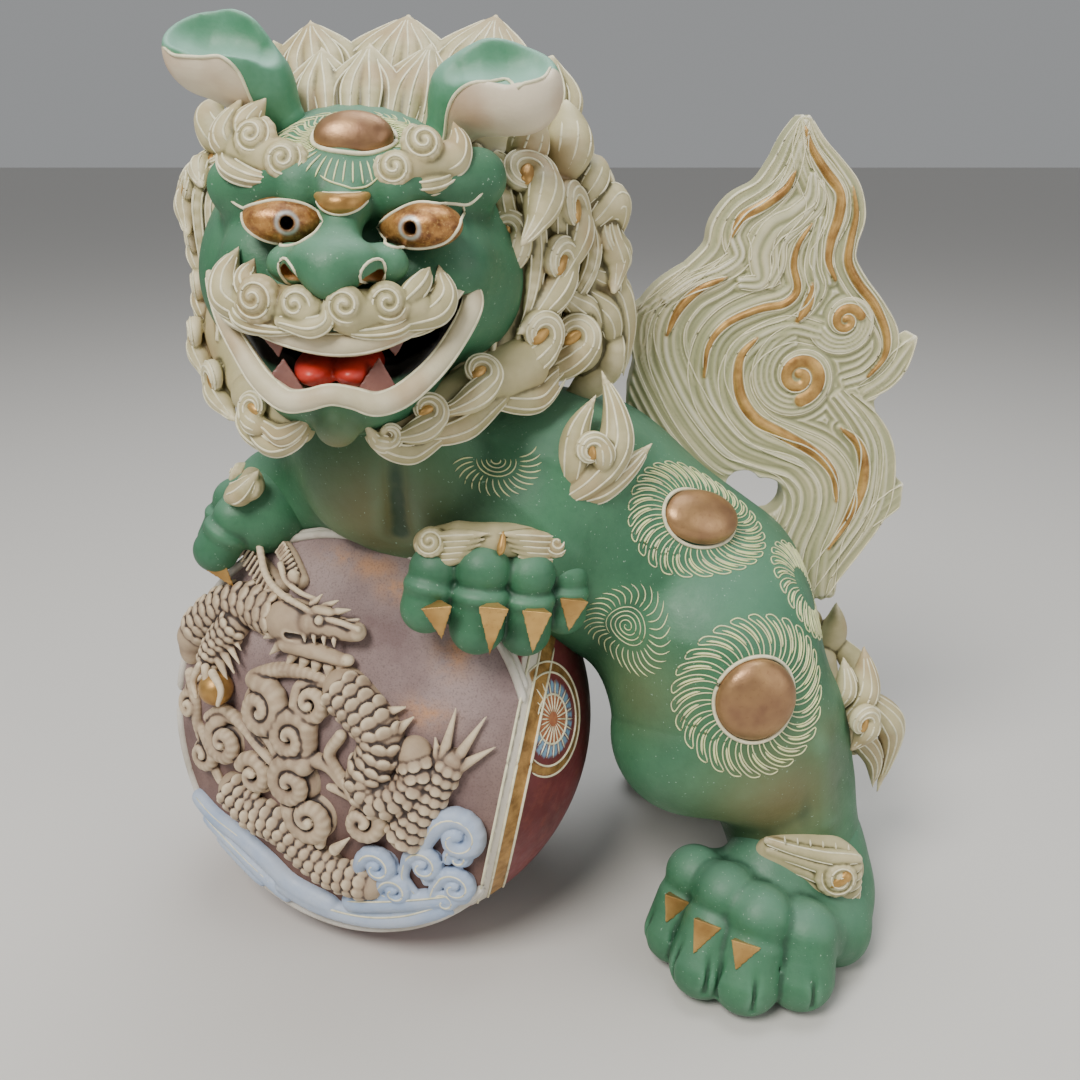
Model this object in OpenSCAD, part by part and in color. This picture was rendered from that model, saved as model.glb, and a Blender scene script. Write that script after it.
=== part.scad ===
// Guardian lion statue: hollow cast clay pieces luted together, with applied relief.
// Millimetres, +Z up. The lion's body lies along X, its head looks towards -Y.
// The statue stands on two hind feet and on a large ball under its forepaws.

/* [Body] */
// Wall thickness of the cast pieces
wall = 5; // [4:0.5:7]
// Radius of the rump
rump_r = 46; // [43:1:49]
// Radius of the chest
chest_r = 42; // [40:1:44]
// Radius of the thigh
thigh_r = 40; // [37:1:43]

/* [Head] */
// Half width of the skull at the cheeks
cheek_r = 45; // [42:1:47]
// Length of an eye between its corners
eye_len = 23; // [18:1:26]
// Width of the nose bulb
nose_w = 25; // [20:1:30]
// Height of a fang
fang_h = 9; // [6:1:12]
// Length of an ear
ear_len = 34; // [28:1:38]

/* [Mane] */
// Length of one mane lock
lock_len = 34; // [28:1:38]
// Radius of a lock at its scroll end
lock_r = 12; // [9:1:14]

/* [Ball] */
// Radius of the ball
ball_r = 80; // [76:1:82]
// Height cut off the ball to make its foot
ball_foot = 2; // [1:0.5:4]
// Radius of the decorated front panel
panel_r = 74; // [70:1:75]
// Height of the panel's dome
panel_dome = 14; // [10:1:18]
// Turn of the panel towards the left, in degrees
panel_turn = 22; // [10:1:30]
// Upward tilt of the panel, in degrees
panel_tilt = 12; // [6:1:18]

/* [Tail] */
// Thickness of the flame tail
tail_t = 17; // [12:1:22]

/* [Ornament] */
// Radius of a gilt boss on the haunch
boss_r = 12; // [10:1:14]
// Radius of the gold pearl
pearl_r = 7; // [5:1:9]

/* [Hidden] */
// Moves the whole statue so that its box is centred on the origin
centre_x = 20.1;
centre_y = 1.2;
ball = [-80, -5, ball_r - ball_foot];
panel_h = sqrt(ball_r * ball_r - panel_r * panel_r);
panel_curve = (panel_r * panel_r + panel_dome * panel_dome) / (2 * panel_dome);
skull = [-75, -28, 250];
mid = 5; // the plane the hind legs mirror about

torso = [[-60, -4, 198, 38], [-58, -4, 175, chest_r], [-8, 4, 156, 45], [48, 5, 122, rump_r]];
thigh = [[47, -16, 112, thigh_r], [38, -30, 84, 30]];
shank = [[66, -22, 84, 34], [80, -20, 62, 31], [84, -28, 34, 27]];
foot = [[90, -34, 19, 22], [64, -46, 20, 23]];
toes = [[35, -42, 12, 32], [42, -61, 12, 32], [59, -73, 12, 30], [80, -71, 12, 22]];
fore_near = [[-16, -18, 180, 27], [-24, -26, 162, 23], [-32, -32, 152, 18]];
fore_far = [[-102, 8, 176, 26], [-118, 10, 167, 20]];
knuckles_near = [[-53, -52, 151], [-41, -48, 153], [-28, -41, 150], [-17, -33, 144]];
tips_near = [[-56, -60, 137], [-40, -61, 130], [-25, -54, 126], [-13, -42, 125]];
knuckles_far = [[-130, -9, 158], [-133, 2, 160], [-132, 13, 158], [-128, 23, 154]];
tips_far = [[-138, -12, 144], [-141, 1, 143], [-139, 14, 142], [-135, 26, 140]];
tail_outline = [
    [16, 230], [32, 240], [42, 249], [46, 260], [58, 273], [64, 285], [70, 295], [80, 280],
    [90, 267], [93, 250], [106, 232], [117, 219], [112, 206], [105, 197], [112, 183], [113, 174],
    [121, 166], [115, 150], [104, 135], [86, 110], [60, 120], [62, 150], [30, 150], [10, 190]
];

// ---- shared shapes ----

// Rounded chain through [x, y, z, r] entries, made thicker by grow
module chain(pts, grow = 0, f = 20) {
    for (i = [0 : max(0, len(pts) - 2)])
        hull()
            for (k = [i, min(i + 1, len(pts) - 1)])
                translate([pts[k][0], pts[k][1], pts[k][2]]) sphere(r = pts[k][3] + grow, $fn = f);
}

// Ball at a point
module at(p, r, f = 20) { translate(p) sphere(r = r, $fn = f); }

// The same as one faceted blob, for clusters
module blob(p, r, f = 14) { hull() at(p, r, f); }

// Rod with round ends, r1 at p and r2 at q
module rod(p, q, r1, r2, f = 12) {
    hull() {
        at(p, r1, f);
        at(q, r2, f);
    }
}

// Moves a group into the statue's frame
module placed() { translate([centre_x, centre_y, 0]) children(); }

// Copies a near-side group to the far side
module far() { translate([0, 2 * mid, 0]) mirror([0, 1, 0]) children(); }

// Puts a group on the panel: X and Y across it, Z out along its axis
module on_panel() {
    translate(ball) rotate([0, 0, -panel_turn]) rotate([90 - panel_tilt, 0, 0]) children();
}

// One flame lock: a scroll ball that tapers into a point
module lock(base, dir, len = lock_len, r = lock_r) {
    tip = base + dir * (len / norm(dir));
    rod(base, tip, r, r * 0.22, 9);
}

// A gilt oval boss, pushed out along its axis
module boss(p, turn, tilt, rx, ry, h) {
    translate(p) rotate([0, 0, turn]) rotate([tilt, 0, 0])
        hull() {
            scale([1, ry / rx, 1]) cylinder(r = rx, h = 1, $fn = 28);
            translate([0, 0, h]) scale([1, ry / rx, 1]) cylinder(r = rx * 0.45, h = 0.5, $fn = 28);
        }
}

// Triangular claw from its root to its point
module claw(root, point, r = 3.4) {
    hull() {
        at(root, r, 8);
        at(point, 0.8, 6);
    }
}

// ---- solid cores, used to cut neighbours ----

module ball_solid(grow = 0) { translate(ball) sphere(r = ball_r + grow, $fn = 64); }
module torso_solid(grow = 0) { chain(torso, grow); }
module skull_solid(grow = 0) {
    hull() {
        translate(skull + [0, 8, 4]) sphere(r = cheek_r + grow, $fn = 28);
        at(skull + [-12, -12, -8], cheek_r - 10 + grow, 24);
        at(skull + [12, -12, -8], cheek_r - 10 + grow, 24);
        at(skull + [-1, -24, -22], 24 + grow, 20);
        at(skull + [4, -22, 22], 24 + grow, 20);
    }
}
module mouth_hollow() {
    hull() {
        at([-106, -66, 245], 6, 12);
        at([-46, -66, 243], 6, 12);
        at([-76, -70, 229], 9, 12);
        at([-76, -36, 235], 11, 12);
    }
    hull() {
        at([-106, -68, 246], 5, 12);
        at([-46, -68, 244], 5, 12);
        at([-76, -112, 230], 12, 12);
    }
}
module leg_core(grow = 0) {
    chain(thigh, grow, 16);
    chain(shank, grow, 16);
    hull() {
        at([47, -16, 112], thigh_r + grow - 6, 18);
        at([66, -22, 84], 34 + grow, 16);
    }
}
module above_floor() { intersection() { children(); translate([-300, -300, 0]) cube([600, 600, 500]); } }

// ---- body ----

module torso_shell() {
    color([0.28, 0.5, 0.36]) placed() difference() {
        torso_solid();
        torso_solid(-wall);
        translate([-60, -8, 214]) cylinder(r = 30, h = 60, $fn = 24, center = true);
        ball_solid(0.2);
        skull_solid(0.2);
    }
}

module head_shell() {
    color([0.28, 0.5, 0.36]) placed() difference() {
        skull_solid();
        skull_solid(-wall);
        mouth_hollow();
        translate([-62, -8, 200]) cylinder(r = 30, h = 40, $fn = 24, center = true);
    }
}

module lower_jaw() {
    color([0.85, 0.82, 0.7]) placed() difference() {
        chain([[-112, -70, 249, 4], [-104, -80, 233, 4.5], [-90, -90, 222, 5], [-75, -94, 219, 5.5],
            [-60, -90, 221, 5], [-46, -80, 231, 4.5], [-38, -70, 246, 4]], 0, 12);
        skull_solid(0.1);
    }
}

module upper_lip() {
    color([0.85, 0.82, 0.7]) placed() difference() {
        chain([[-108, -72, 248, 3.2], [-92, -86, 242, 3.4], [-74, -94, 240, 3.6], [-58, -87, 241, 3.4],
            [-42, -72, 246, 3.2]], 0, 12);
        skull_solid(0.1);
    }
}

module upper_fangs() {
    color([0.6, 0.42, 0.38]) placed() {
        claw([-91, -80, 240], [-90, -81, 240 - fang_h], 3);
        claw([-57, -80, 240], [-58, -81, 240 - fang_h], 3);
    }
}

module lower_fangs() {
    color([0.6, 0.42, 0.38]) placed() {
        claw([-88, -79, 225], [-87, -80, 225 + fang_h], 3.6);
        claw([-62, -79, 225], [-63, -80, 225 + fang_h], 3.6);
    }
}

module tongue() {
    color([0.78, 0.2, 0.16]) placed() difference() {
        hull() {
            at([-83, -72, 228], 5, 14);
            at([-68, -72, 228], 5, 14);
            at([-76, -44, 230], 6, 14);
        }
        translate([-76, -60, 236]) rotate([90, 0, 0]) cylinder(r = 2.5, h = 60, $fn = 20, center = true);
    }
}

module nose() {
    color([0.28, 0.5, 0.36]) placed() difference() {
        union() {
            hull() {
                at([-69, -90, 260], nose_w * 0.38, 20);
                at([-70, -80, 267], 6, 16);
            }
            blob([-79, -86, 257], 6.5);
            blob([-60, -86, 256.5], 6.5);
        }
        skull_solid(0.1);
    }
}

module eye(p, turn) {
    translate(p) rotate([0, 0, turn]) difference() {
        hull() {
            at([-eye_len / 2 + 1, 3, 0], 1.2, 8);
            at([0, 0, 0], 5.6, 20);
            at([eye_len / 2 - 1, 3, 0], 1.2, 8);
        }
        rotate([90, 0, 0]) cylinder(r = 1.6, h = 20, $fn = 16);
    }
}
module eye_left() { color([0.7, 0.52, 0.28]) placed() difference() { eye([-87.5, -76, 267], -14); skull_solid(0.1); } }
module eye_right() { color([0.7, 0.52, 0.28]) placed() difference() { eye([-51, -76, 266], 14); skull_solid(0.1); } }

module forehead_boss() {
    color([0.6, 0.42, 0.25]) placed() difference() {
        boss([-70.5, -55, 289], 0, 42, boss_r, boss_r * 0.72, 8);
        skull_solid(0.1);
    }
}

module bridge_bar() {
    color([0.7, 0.52, 0.28]) placed() difference() {
        rod([-77, -79, 274], [-63, -79, 274], 2.6, 2.6);
        skull_solid(0.1);
    }
}

// Two scrolls and an upright tip over one eye; s = -1 left, 1 right
module brow(x, s) {
    difference() {
        union() {
            rod([x - 8 * s, -72, 281], [x + 4 * s, -68, 286], 7, 8.5, 14);
            blob([x + 9 * s, -62, 287], 7.5);
            rod([x + 6 * s, -62, 290], [x + 12 * s, -56, 298], 5, 1.2);
        }
        skull_solid(0.1);
    }
}
module brow_left() { color([0.85, 0.82, 0.7]) placed() brow(-96, -1); }
module brow_right() { color([0.85, 0.82, 0.7]) placed() brow(-50, 1); }

// Moustache half: two scrolls and a rising tip
module moustache(x, s) {
    difference() {
        union() {
            blob([x - 9 * s, -92, 248], 6.5);
            blob([x + 3 * s, -88, 251], 7.5);
            rod([x + 6 * s, -84, 252], [x + 14 * s, -76, 262], 5, 1.2);
        }
        skull_solid(0.1);
    }
}
module moustache_left() { color([0.85, 0.82, 0.7]) placed() moustache(-90, -1); }
module moustache_right() { color([0.85, 0.82, 0.7]) placed() moustache(-57, 1); }

// A cupped ear: spoon shell along the points, hollowed from above
module spoon(pts, up) {
    difference() {
        chain(pts, 0, 18);
        translate(up) chain(pts, -3, 18);
        skull_solid(0.1);
    }
}
module ear_left() {
    color([0.28, 0.5, 0.36]) placed()
        spoon([[-95, -38, 296, 8], [-103, -44, 306, 11], [-95 - ear_len * 0.6, -48, 309, 9]], [0, -2, 5]);
}
module ear_right() {
    color([0.85, 0.82, 0.7]) placed()
        spoon([[-44, -38, 292, 8], [-34, -46, 298, 11], [-44 + ear_len * 0.6, -50, 297, 9]], [0, 2, 5]);
}

// ---- mane ----

module mane_top() {
    color([0.8, 0.77, 0.62]) placed() difference() {
        union() {
            for (i = [0 : 4]) lock([-100 + 14 * i, -14 + 2 * i, 290], [-0.3 + 0.14 * i, 0.3, 1], lock_len - 4 * abs(i - 3));
            for (i = [0 : 3]) lock([-92 + 14 * i, -34, 290], [-0.2 + 0.14 * i, -0.1, 1], 14, 9);
        }
        skull_solid(0.1);
    }
}

module mane_left() {
    color([0.8, 0.77, 0.62]) placed() difference() {
        for (i = [0 : 5])
            lock([-120 + (i > 3 ? 4 * (i - 3) : 0), -24 - 5 * i, 286 - 15 * i], [-0.5, 0.1, i < 3 ? 0.4 : -0.9], 16, 11);
        skull_solid(0.1);
    }
}

module mane_right() {
    color([0.8, 0.77, 0.62]) placed() difference() {
        union() {
            for (i = [0 : 4]) lock([-32 + 4 * i, -16, 284 - 16 * i], [1, 0.3, 0.5 - 0.3 * i], 26, 14);
            for (i = [0 : 4]) lock([-26 + 2 * i, -36, 276 - 14 * i], [0.7, -0.4, -0.2 * i], 16, 11);
        }
        skull_solid(0.1);
        torso_solid(0.1);
    }
}

module mane_back() {
    color([0.8, 0.77, 0.62]) placed() difference() {
        union() {
            hull() {
                at([-100, 10, 258], 24, 16);
                at([-48, 12, 258], 25, 16);
                at([-72, 8, 282], 22, 16);
                at([-62, 22, 214], 20, 16);
            }
            for (i = [0 : 4]) lock([-108 + 22 * i, 22 - 2 * abs(i - 2), 238], [0.3 * (i - 2), 0.3, -1], lock_len, 12);
        }
        skull_solid(0.1);
        torso_solid(0.1);
    }
}

module beard_left() {
    color([0.8, 0.77, 0.62]) placed() difference() {
        union() {
            lock([-112, -54, 222], [0.6, -0.2, -0.9], 20, 11);
            lock([-98, -66, 210], [0.8, -0.3, -0.7], 18, 11);
            blob([-92, -70, 204], 9, 12);
        }
        skull_solid(0.1);
        torso_solid(0.1);
    }
}

module beard_right() {
    color([0.8, 0.77, 0.62]) placed() difference() {
        union() {
            lock([-34, -50, 224], [-0.6, -0.3, -0.8], 20, 12);
            lock([-48, -62, 214], [-0.8, -0.3, -0.6], 18, 11);
            blob([-63, -68, 207], 8.5, 12);
            lock([-22, -42, 226], [0.5, 0.2, -0.9], 20, 12);
        }
        skull_solid(0.1);
        torso_solid(0.1);
    }
}

// ---- forelegs ----

module paw(knuckles, tips, palm, r) {
    for (i = [0 : 3]) {
        rod(knuckles[i], tips[i], r, r - 1, 10);
        rod(knuckles[i], palm, r - 1, 16, 10);
    }
}

module foreleg_near() {
    color([0.28, 0.5, 0.36]) placed() difference() {
        chain(fore_near, 0, 20);
        torso_solid(0.1);
        ball_solid(0.1);
    }
}

module foreleg_far() {
    color([0.28, 0.5, 0.36]) placed() difference() {
        chain(fore_far, 0, 20);
        torso_solid(0.1);
        ball_solid(0.1);
    }
}

module paw_near() {
    color([0.28, 0.5, 0.36]) placed() difference() {
        paw(knuckles_near, tips_near, [-30, -36, 150], 8.5);
        ball_solid(0.1);
        chain(fore_near, 0.1, 20);
        torso_solid(0.1);
    }
}

module paw_far() {
    color([0.28, 0.5, 0.36]) placed() difference() {
        paw(knuckles_far, tips_far, [-120, 8, 160], 8.5);
        ball_solid(0.1);
        chain(fore_far, 0.1, 20);
    }
}

module claws_near() {
    color([0.7, 0.52, 0.28]) placed() for (i = [0 : 3]) {
        out = tips_near[i] - ball;
        p = tips_near[i] + out * (6 / norm(out));
        claw(p + [0, -1, 7], p + [0, -1, -3], 3);
    }
}

module claws_far() {
    color([0.7, 0.52, 0.28]) placed() for (i = [0 : 3]) {
        out = tips_far[i] - ball;
        p = tips_far[i] + out * (6 / norm(out));
        claw(p + [-1, 0, 7], p + [-1, 0, -3], 3);
    }
}

module cuff_near() {
    color([0.8, 0.77, 0.62]) placed() difference() {
        chain([[-53, -50, 164, 4], [-36, -50, 168, 4], [-17, -40, 162, 4]], 0, 14);
        chain(fore_near, 0.1, 20);
        torso_solid(0.1);
        paw(knuckles_near, tips_near, [-30, -36, 150], 8.6);
    }
}

module cuff_far() {
    color([0.8, 0.77, 0.62]) placed() difference() {
        chain([[-120, -12, 172, 4], [-124, 0, 178, 4], [-122, 14, 178, 4]], 0, 14);
        chain(fore_far, 0.1, 20);
        torso_solid(0.1);
        paw(knuckles_far, tips_far, [-120, 8, 160], 8.6);
    }
}

module shoulder_flame() {
    hull() {
        at([-3, -33, 196], 8, 14);
        at([-8, -38, 187], 6, 12);
    }
    rod([-3, -33, 199], [1, -26, 216], 6.5, 1.5);
    rod([0, -33, 193], [16, -25, 193], 6, 1.5);
}
module shoulder_flame_near() {
    color([0.8, 0.77, 0.62]) placed() difference() {
        shoulder_flame();
        torso_solid(0.1);
        chain(fore_near, 0.1, 20);
    }
}
module shoulder_flame_far() {
    color([0.8, 0.77, 0.62]) placed() difference() {
        translate([-96, 2, -4]) mirror([0, 1, 0]) shoulder_flame();
        torso_solid(0.1);
        chain(fore_far, 0.1, 20);
    }
}

// ---- hind legs ----

module hind_leg() {
    difference() {
        leg_core();
        leg_core(-wall);
        torso_solid(0.1);
        chain(foot, 0.1, 16);
        translate([80, -26, 20]) cylinder(r = 16, h = 30, $fn = 20);
        translate([-200, -200, -100]) cube([400, 400, 112]);
    }
}
module hind_leg_near() { color([0.28, 0.5, 0.36]) placed() difference() { hind_leg(); translate([-200, mid - 0.1, -50]) cube([400, 100, 400]); } }
module hind_leg_far() { color([0.28, 0.5, 0.36]) placed() difference() { far() hind_leg(); translate([-200, mid + 0.1 - 100, -50]) cube([400, 100, 400]); } }

module foot_form(grow = 0) {
    chain(foot, grow, 16);
    for (t = toes) {
        rod([t[0], t[1], t[2]], bend(t), 14 + grow, 12 + grow, 10);
        rod(bend(t), [70, -42, 26], 12 + grow, 18 + grow, 10);
    }
}
module hind_foot() {
    above_floor() difference() {
        foot_form();
        intersection() {
            chain(foot, -wall, 16);
            translate([-200, -200, wall]) cube([400, 400, 100]);
        }
        translate([80, -28, 24]) cylinder(r = 12, h = 40, $fn = 20);
    }
}
module hind_foot_near() { color([0.28, 0.5, 0.36]) placed() hind_foot(); }
module hind_foot_far() { color([0.28, 0.5, 0.36]) placed() far() hind_foot(); }

// Outward direction of a toe, and the top of its bend
function away(t) = let (v = [t[0] - 66, t[1] + 40, 0]) v / norm(v);
function bend(t) = [t[0] * 0.75 + 19, t[1] * 0.85 - 5, t[3]];
module hind_claws() {
    for (t = toes) claw(bend(t) + away(t) * 10 + [0, 0, 1], [t[0], t[1], t[3] - 7] + away(t) * 13.5, 3.2);
}
module hind_claws_near() { color([0.7, 0.52, 0.28]) placed() hind_claws(); }
module hind_claws_far() { color([0.7, 0.52, 0.28]) placed() far() hind_claws(); }

module hock_flame() {
    difference() {
        union() {
            hull() {
                at([104, -14, 84], 8, 14);
                at([110, -10, 70], 7, 14);
            }
            rod([103, -12, 90], [101, -6, 107], 6, 1.2);
            rod([110, -10, 72], [113, -8, 48], 5, 1.2);
        }
        leg_core(0.1);
    }
}
module hock_flame_near() { color([0.8, 0.77, 0.62]) placed() hock_flame(); }
module hock_flame_far() { color([0.8, 0.77, 0.62]) placed() far() hock_flame(); }

module ankle_shell() {
    difference() {
        union() {
            hull() {
                at([88, -57, 34], 7, 12);
                at([78, -56, 39], 6, 12);
            }
            rod([78, -56, 41], [68, -54, 49], 4.5, 1.5);
        }
        leg_core(0.1);
        foot_form(0.1);
    }
}
module ankle_shell_near() { color([0.8, 0.77, 0.62]) placed() ankle_shell(); }
module ankle_shell_far() { color([0.8, 0.77, 0.62]) placed() far() ankle_shell(); }

module rump_boss() {
    color([0.6, 0.42, 0.25]) placed() difference() {
        boss([35, -24, 166], 28, 50, 13, 9, 7);
        torso_solid(0.1);
        leg_core(0.1);
    }
}
module thigh_boss() {
    difference() {
        boss([52.5, -53, 110], 9, 86, 12.5, 12.5, 8);
        leg_core(0.1);
    }
}
module thigh_boss_near() { color([0.6, 0.42, 0.25]) placed() thigh_boss(); }
module thigh_boss_far() { color([0.6, 0.42, 0.25]) placed() far() thigh_boss(); }

// ---- tail ----

module tail_flame() {
    color([0.72, 0.74, 0.58]) placed() difference() {
        translate([0, 16 + tail_t / 2, 0]) rotate([90, 0, 0])
            linear_extrude(height = tail_t) polygon(tail_outline);
        torso_solid(0.1);
        translate([72, 60, 160]) rotate([90, 0, 0]) cylinder(r = 8, h = 90, $fn = 24);
    }
}

// ---- ball ----

module ball_shell() {
    color([0.43, 0.19, 0.19]) placed() above_floor() difference() {
        ball_solid();
        translate(ball) sphere(r = ball_r - wall, $fn = 64);
        translate([ball[0], ball[1], -1]) cylinder(r = 9, h = 12, $fn = 32);
        on_panel() translate([0, 0, panel_h - 4]) cylinder(r = 120, h = 120, $fn = 32);
    }
}

module ball_panel() {
    color([0.5, 0.42, 0.4]) placed() above_floor() on_panel() difference() {
        intersection() {
            translate([0, 0, panel_h]) cylinder(r = panel_r, h = 60, $fn = 64);
            translate([0, 0, panel_h + panel_dome - panel_curve]) sphere(r = panel_curve, $fn = 96);
        }
        translate([0, 0, panel_h + panel_dome - panel_curve]) sphere(r = panel_curve - wall, $fn = 96);
    }
}

module panel_rim() {
    color([0.72, 0.55, 0.3]) placed() above_floor() on_panel() translate([0, 0, panel_h - 4]) difference() {
        cylinder(r = panel_r + 1.2, h = 4, $fn = 64);
        translate([0, 0, -1]) cylinder(r = panel_r - 3, h = 6, $fn = 64);
    }
}

// Position on the panel's dome for across x and up y, lifted by z
function dome(x, y, z = 0) =
    [x, y, panel_h + panel_dome - panel_curve + sqrt(panel_curve * panel_curve - x * x - y * y) + z];

module panel_cut() {
    on_panel() translate([0, 0, panel_h + panel_dome - panel_curve]) hull() sphere(r = panel_curve + 0.4, $fn = 48);
}

module dragon_head() {
    color([0.68, 0.6, 0.5]) placed() difference() {
        on_panel() {
            rod(dome(-26, 42, 3), dome(-4, 24, 4), 7, 8, 10);
            rod(dome(-4, 24, 4), dome(14, 16, 4), 8, 5, 10);
            rod(dome(-26, 42, 3), dome(-38, 56, 1), 4, 2, 8);
            rod(dome(-18, 44, 3), dome(-22, 60, 1), 4, 2, 8);
            rod(dome(-12, 26, 4), dome(6, 8, 2), 6, 4, 8);
            rod(dome(-22, 30, 5), dome(-2, 34, 4), 4, 3, 8);
            rod(dome(-34, 44, 1), dome(-46, 52, 0), 4, 2, 8);
            rod(dome(-20, 22, 1), dome(-30, 14, 0), 4, 2, 8);
            blob(dome(-8, 30, 9), 3, 8);
        }
        panel_cut();
    }
}

module dragon_body() {
    color([0.7, 0.62, 0.52]) placed() difference() {
        on_panel() {
            rod(dome(-60, 26, 0), dome(-34, 30, 1), 8, 8, 9);
            rod(dome(2, -2, 1), dome(12, -24, 2), 9, 9, 9);
            rod(dome(12, -24, 2), dome(0, -44, 1), 9, 8, 9);
            rod(dome(-40, -34, 0), dome(-6, -58, 0), 8, 6, 9);
            rod(dome(34, -38, 0), dome(44, -10, 1), 6, 6, 9);
            for (i = [0 : 2]) rod(dome(44, -10, 1), dome(38 + 9 * i, 8 - 4 * i, 0), 4, 1.2, 9);
        }
        panel_cut();
    }
}

module clouds() {
    color([0.74, 0.66, 0.56]) placed() difference() {
        on_panel() for (c = [[-36, 6], [-14, 8], [-52, -6], [-26, -10], [-60, 8], [-40, -26], [-20, -28], [-6, -42]])
            rod(dome(c[0], c[1], 0), dome(c[0] + 4, c[1], 1), 8, 6, 9);
        panel_cut();
    }
}

module waves() {
    color([0.62, 0.68, 0.76]) placed() above_floor() difference() {
        on_panel() {
            for (c = [[28, -52], [42, -48], [50, -34], [40, -34]]) rod(dome(c[0], c[1], 0), dome(c[0] - 4, c[1], 1), 8, 5, 9);
            rod(dome(-60, -30, 0), dome(-24, -62, 0), 6, 6, 9);
            rod(dome(-62, -26, 0), dome(-46, -38, 0), 5, 5, 9);
            rod(dome(20, -56, 0), dome(0, -66, 0), 5, 4, 9);
            blob(dome(34, -44, 2), 5, 9);
        }
        panel_cut();
    }
}

module pearl() { color([0.72, 0.55, 0.3]) placed() difference() { on_panel() at(dome(-56, 16, 2), pearl_r, 24); panel_cut(); } }

module ball_flower() {
    color([0.75, 0.5, 0.3]) placed() difference() {
        translate(ball) rotate([0, 0, 56]) rotate([78, 0, 0]) translate([0, 0, ball_r - 1]) union() {
            rod([0, 0, 0], [0, 0, 1], 6, 5, 14);
            for (a = [0 : 45 : 359])
                rod([8 * cos(a), 8 * sin(a), 0], [10 * cos(a), 10 * sin(a), -1], 3.2, 3, 8);
        }
        hull() ball_solid(0.2);
    }
}

torso_shell();
head_shell();
lower_jaw();
upper_lip();
upper_fangs();
lower_fangs();
tongue();
nose();
eye_left();
eye_right();
forehead_boss();
bridge_bar();
brow_left();
brow_right();
moustache_left();
moustache_right();
ear_left();
ear_right();
mane_top();
mane_left();
mane_right();
mane_back();
beard_left();
beard_right();
foreleg_near();
foreleg_far();
paw_near();
paw_far();
claws_near();
claws_far();
cuff_near();
cuff_far();
shoulder_flame_near();
shoulder_flame_far();
hind_leg_near();
hind_leg_far();
hind_foot_near();
hind_foot_far();
hind_claws_near();
hind_claws_far();
hock_flame_near();
hock_flame_far();
ankle_shell_near();
ankle_shell_far();
rump_boss();
thigh_boss_near();
thigh_boss_far();
tail_flame();
ball_shell();
ball_panel();
panel_rim();
ball_flower();
dragon_head();
dragon_body();
clouds();
waves();
pearl();
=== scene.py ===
"""Green-glazed guardian lion with its paws on a relief ball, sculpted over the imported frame."""
import math

import bpy
import numpy as np
import openvdb
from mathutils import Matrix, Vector
from mathutils.bvhtree import BVHTree


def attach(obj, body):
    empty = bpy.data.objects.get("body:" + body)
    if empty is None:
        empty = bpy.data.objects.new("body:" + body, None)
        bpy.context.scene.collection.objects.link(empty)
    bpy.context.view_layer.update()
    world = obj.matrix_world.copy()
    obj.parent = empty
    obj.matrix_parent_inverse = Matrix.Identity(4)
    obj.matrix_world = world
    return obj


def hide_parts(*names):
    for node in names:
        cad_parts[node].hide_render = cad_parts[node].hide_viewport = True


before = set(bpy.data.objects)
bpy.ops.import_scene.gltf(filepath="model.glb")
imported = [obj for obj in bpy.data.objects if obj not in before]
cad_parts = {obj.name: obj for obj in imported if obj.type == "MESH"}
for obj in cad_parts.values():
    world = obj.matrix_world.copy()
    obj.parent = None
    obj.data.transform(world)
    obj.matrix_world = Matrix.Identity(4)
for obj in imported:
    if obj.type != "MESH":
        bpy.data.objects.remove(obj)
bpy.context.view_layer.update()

# All sculpting is in millimetres in the statue's working frame.
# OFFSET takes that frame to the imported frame, as the centring values in the solids do.
OFFSET = np.array([20.1, 1.2, 0.0])
MM = 0.001
FAR = 14.0


def arr(*v):
    """Array of the given numbers."""
    return np.array(v, float)


def unit(v):
    """The vector at length one."""
    v = np.asarray(v, float)
    return v / np.linalg.norm(v)


# ---------------------------------------------------------------- camera, floor and light

def add_camera():
    """A normal lens a little above the head, looking slightly down."""
    data = bpy.data.cameras.new("view")
    data.lens = 36.0
    data.sensor_width = 36.0
    data.clip_start = 0.01
    data.clip_end = 50.0
    cam = bpy.data.objects.new("view", data)
    cam.location = (OFFSET + arr(-20, -375, 290)) * MM
    cam.rotation_euler = (math.radians(90 - 20.8), 0, 0)
    bpy.context.scene.collection.objects.link(cam)
    bpy.context.scene.camera = cam


def add_floor():
    """A large pale floor at the height the statue stands on."""
    mesh = bpy.data.meshes.new("floor")
    s = 9.0
    mesh.from_pydata([(-s, -s, 0), (s, -s, 0), (s, s, 0), (-s, s, 0)], [], [(0, 1, 2, 3)])
    floor = bpy.data.objects.new("floor", mesh)
    bpy.context.scene.collection.objects.link(floor)
    mat = bpy.data.materials.new("floor_pale")
    mat.use_nodes = True
    bsdf = mat.node_tree.nodes["Principled BSDF"]
    bsdf.inputs["Base Color"].default_value = (0.62, 0.6, 0.57, 1)
    bsdf.inputs["Roughness"].default_value = 0.7
    mesh.materials.append(mat)


def add_area(name, at, aim, size, power, colour):
    """One round soft lamp aimed at a point."""
    data = bpy.data.lights.new(name, "AREA")
    data.shape = "DISK"
    data.size = size
    data.energy = power
    data.color = colour
    lamp = bpy.data.objects.new(name, data)
    lamp.location = Vector(at)
    lamp.rotation_euler = (Vector(aim) - Vector(at)).to_track_quat("-Z", "Y").to_euler()
    bpy.context.scene.collection.objects.link(lamp)


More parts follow.
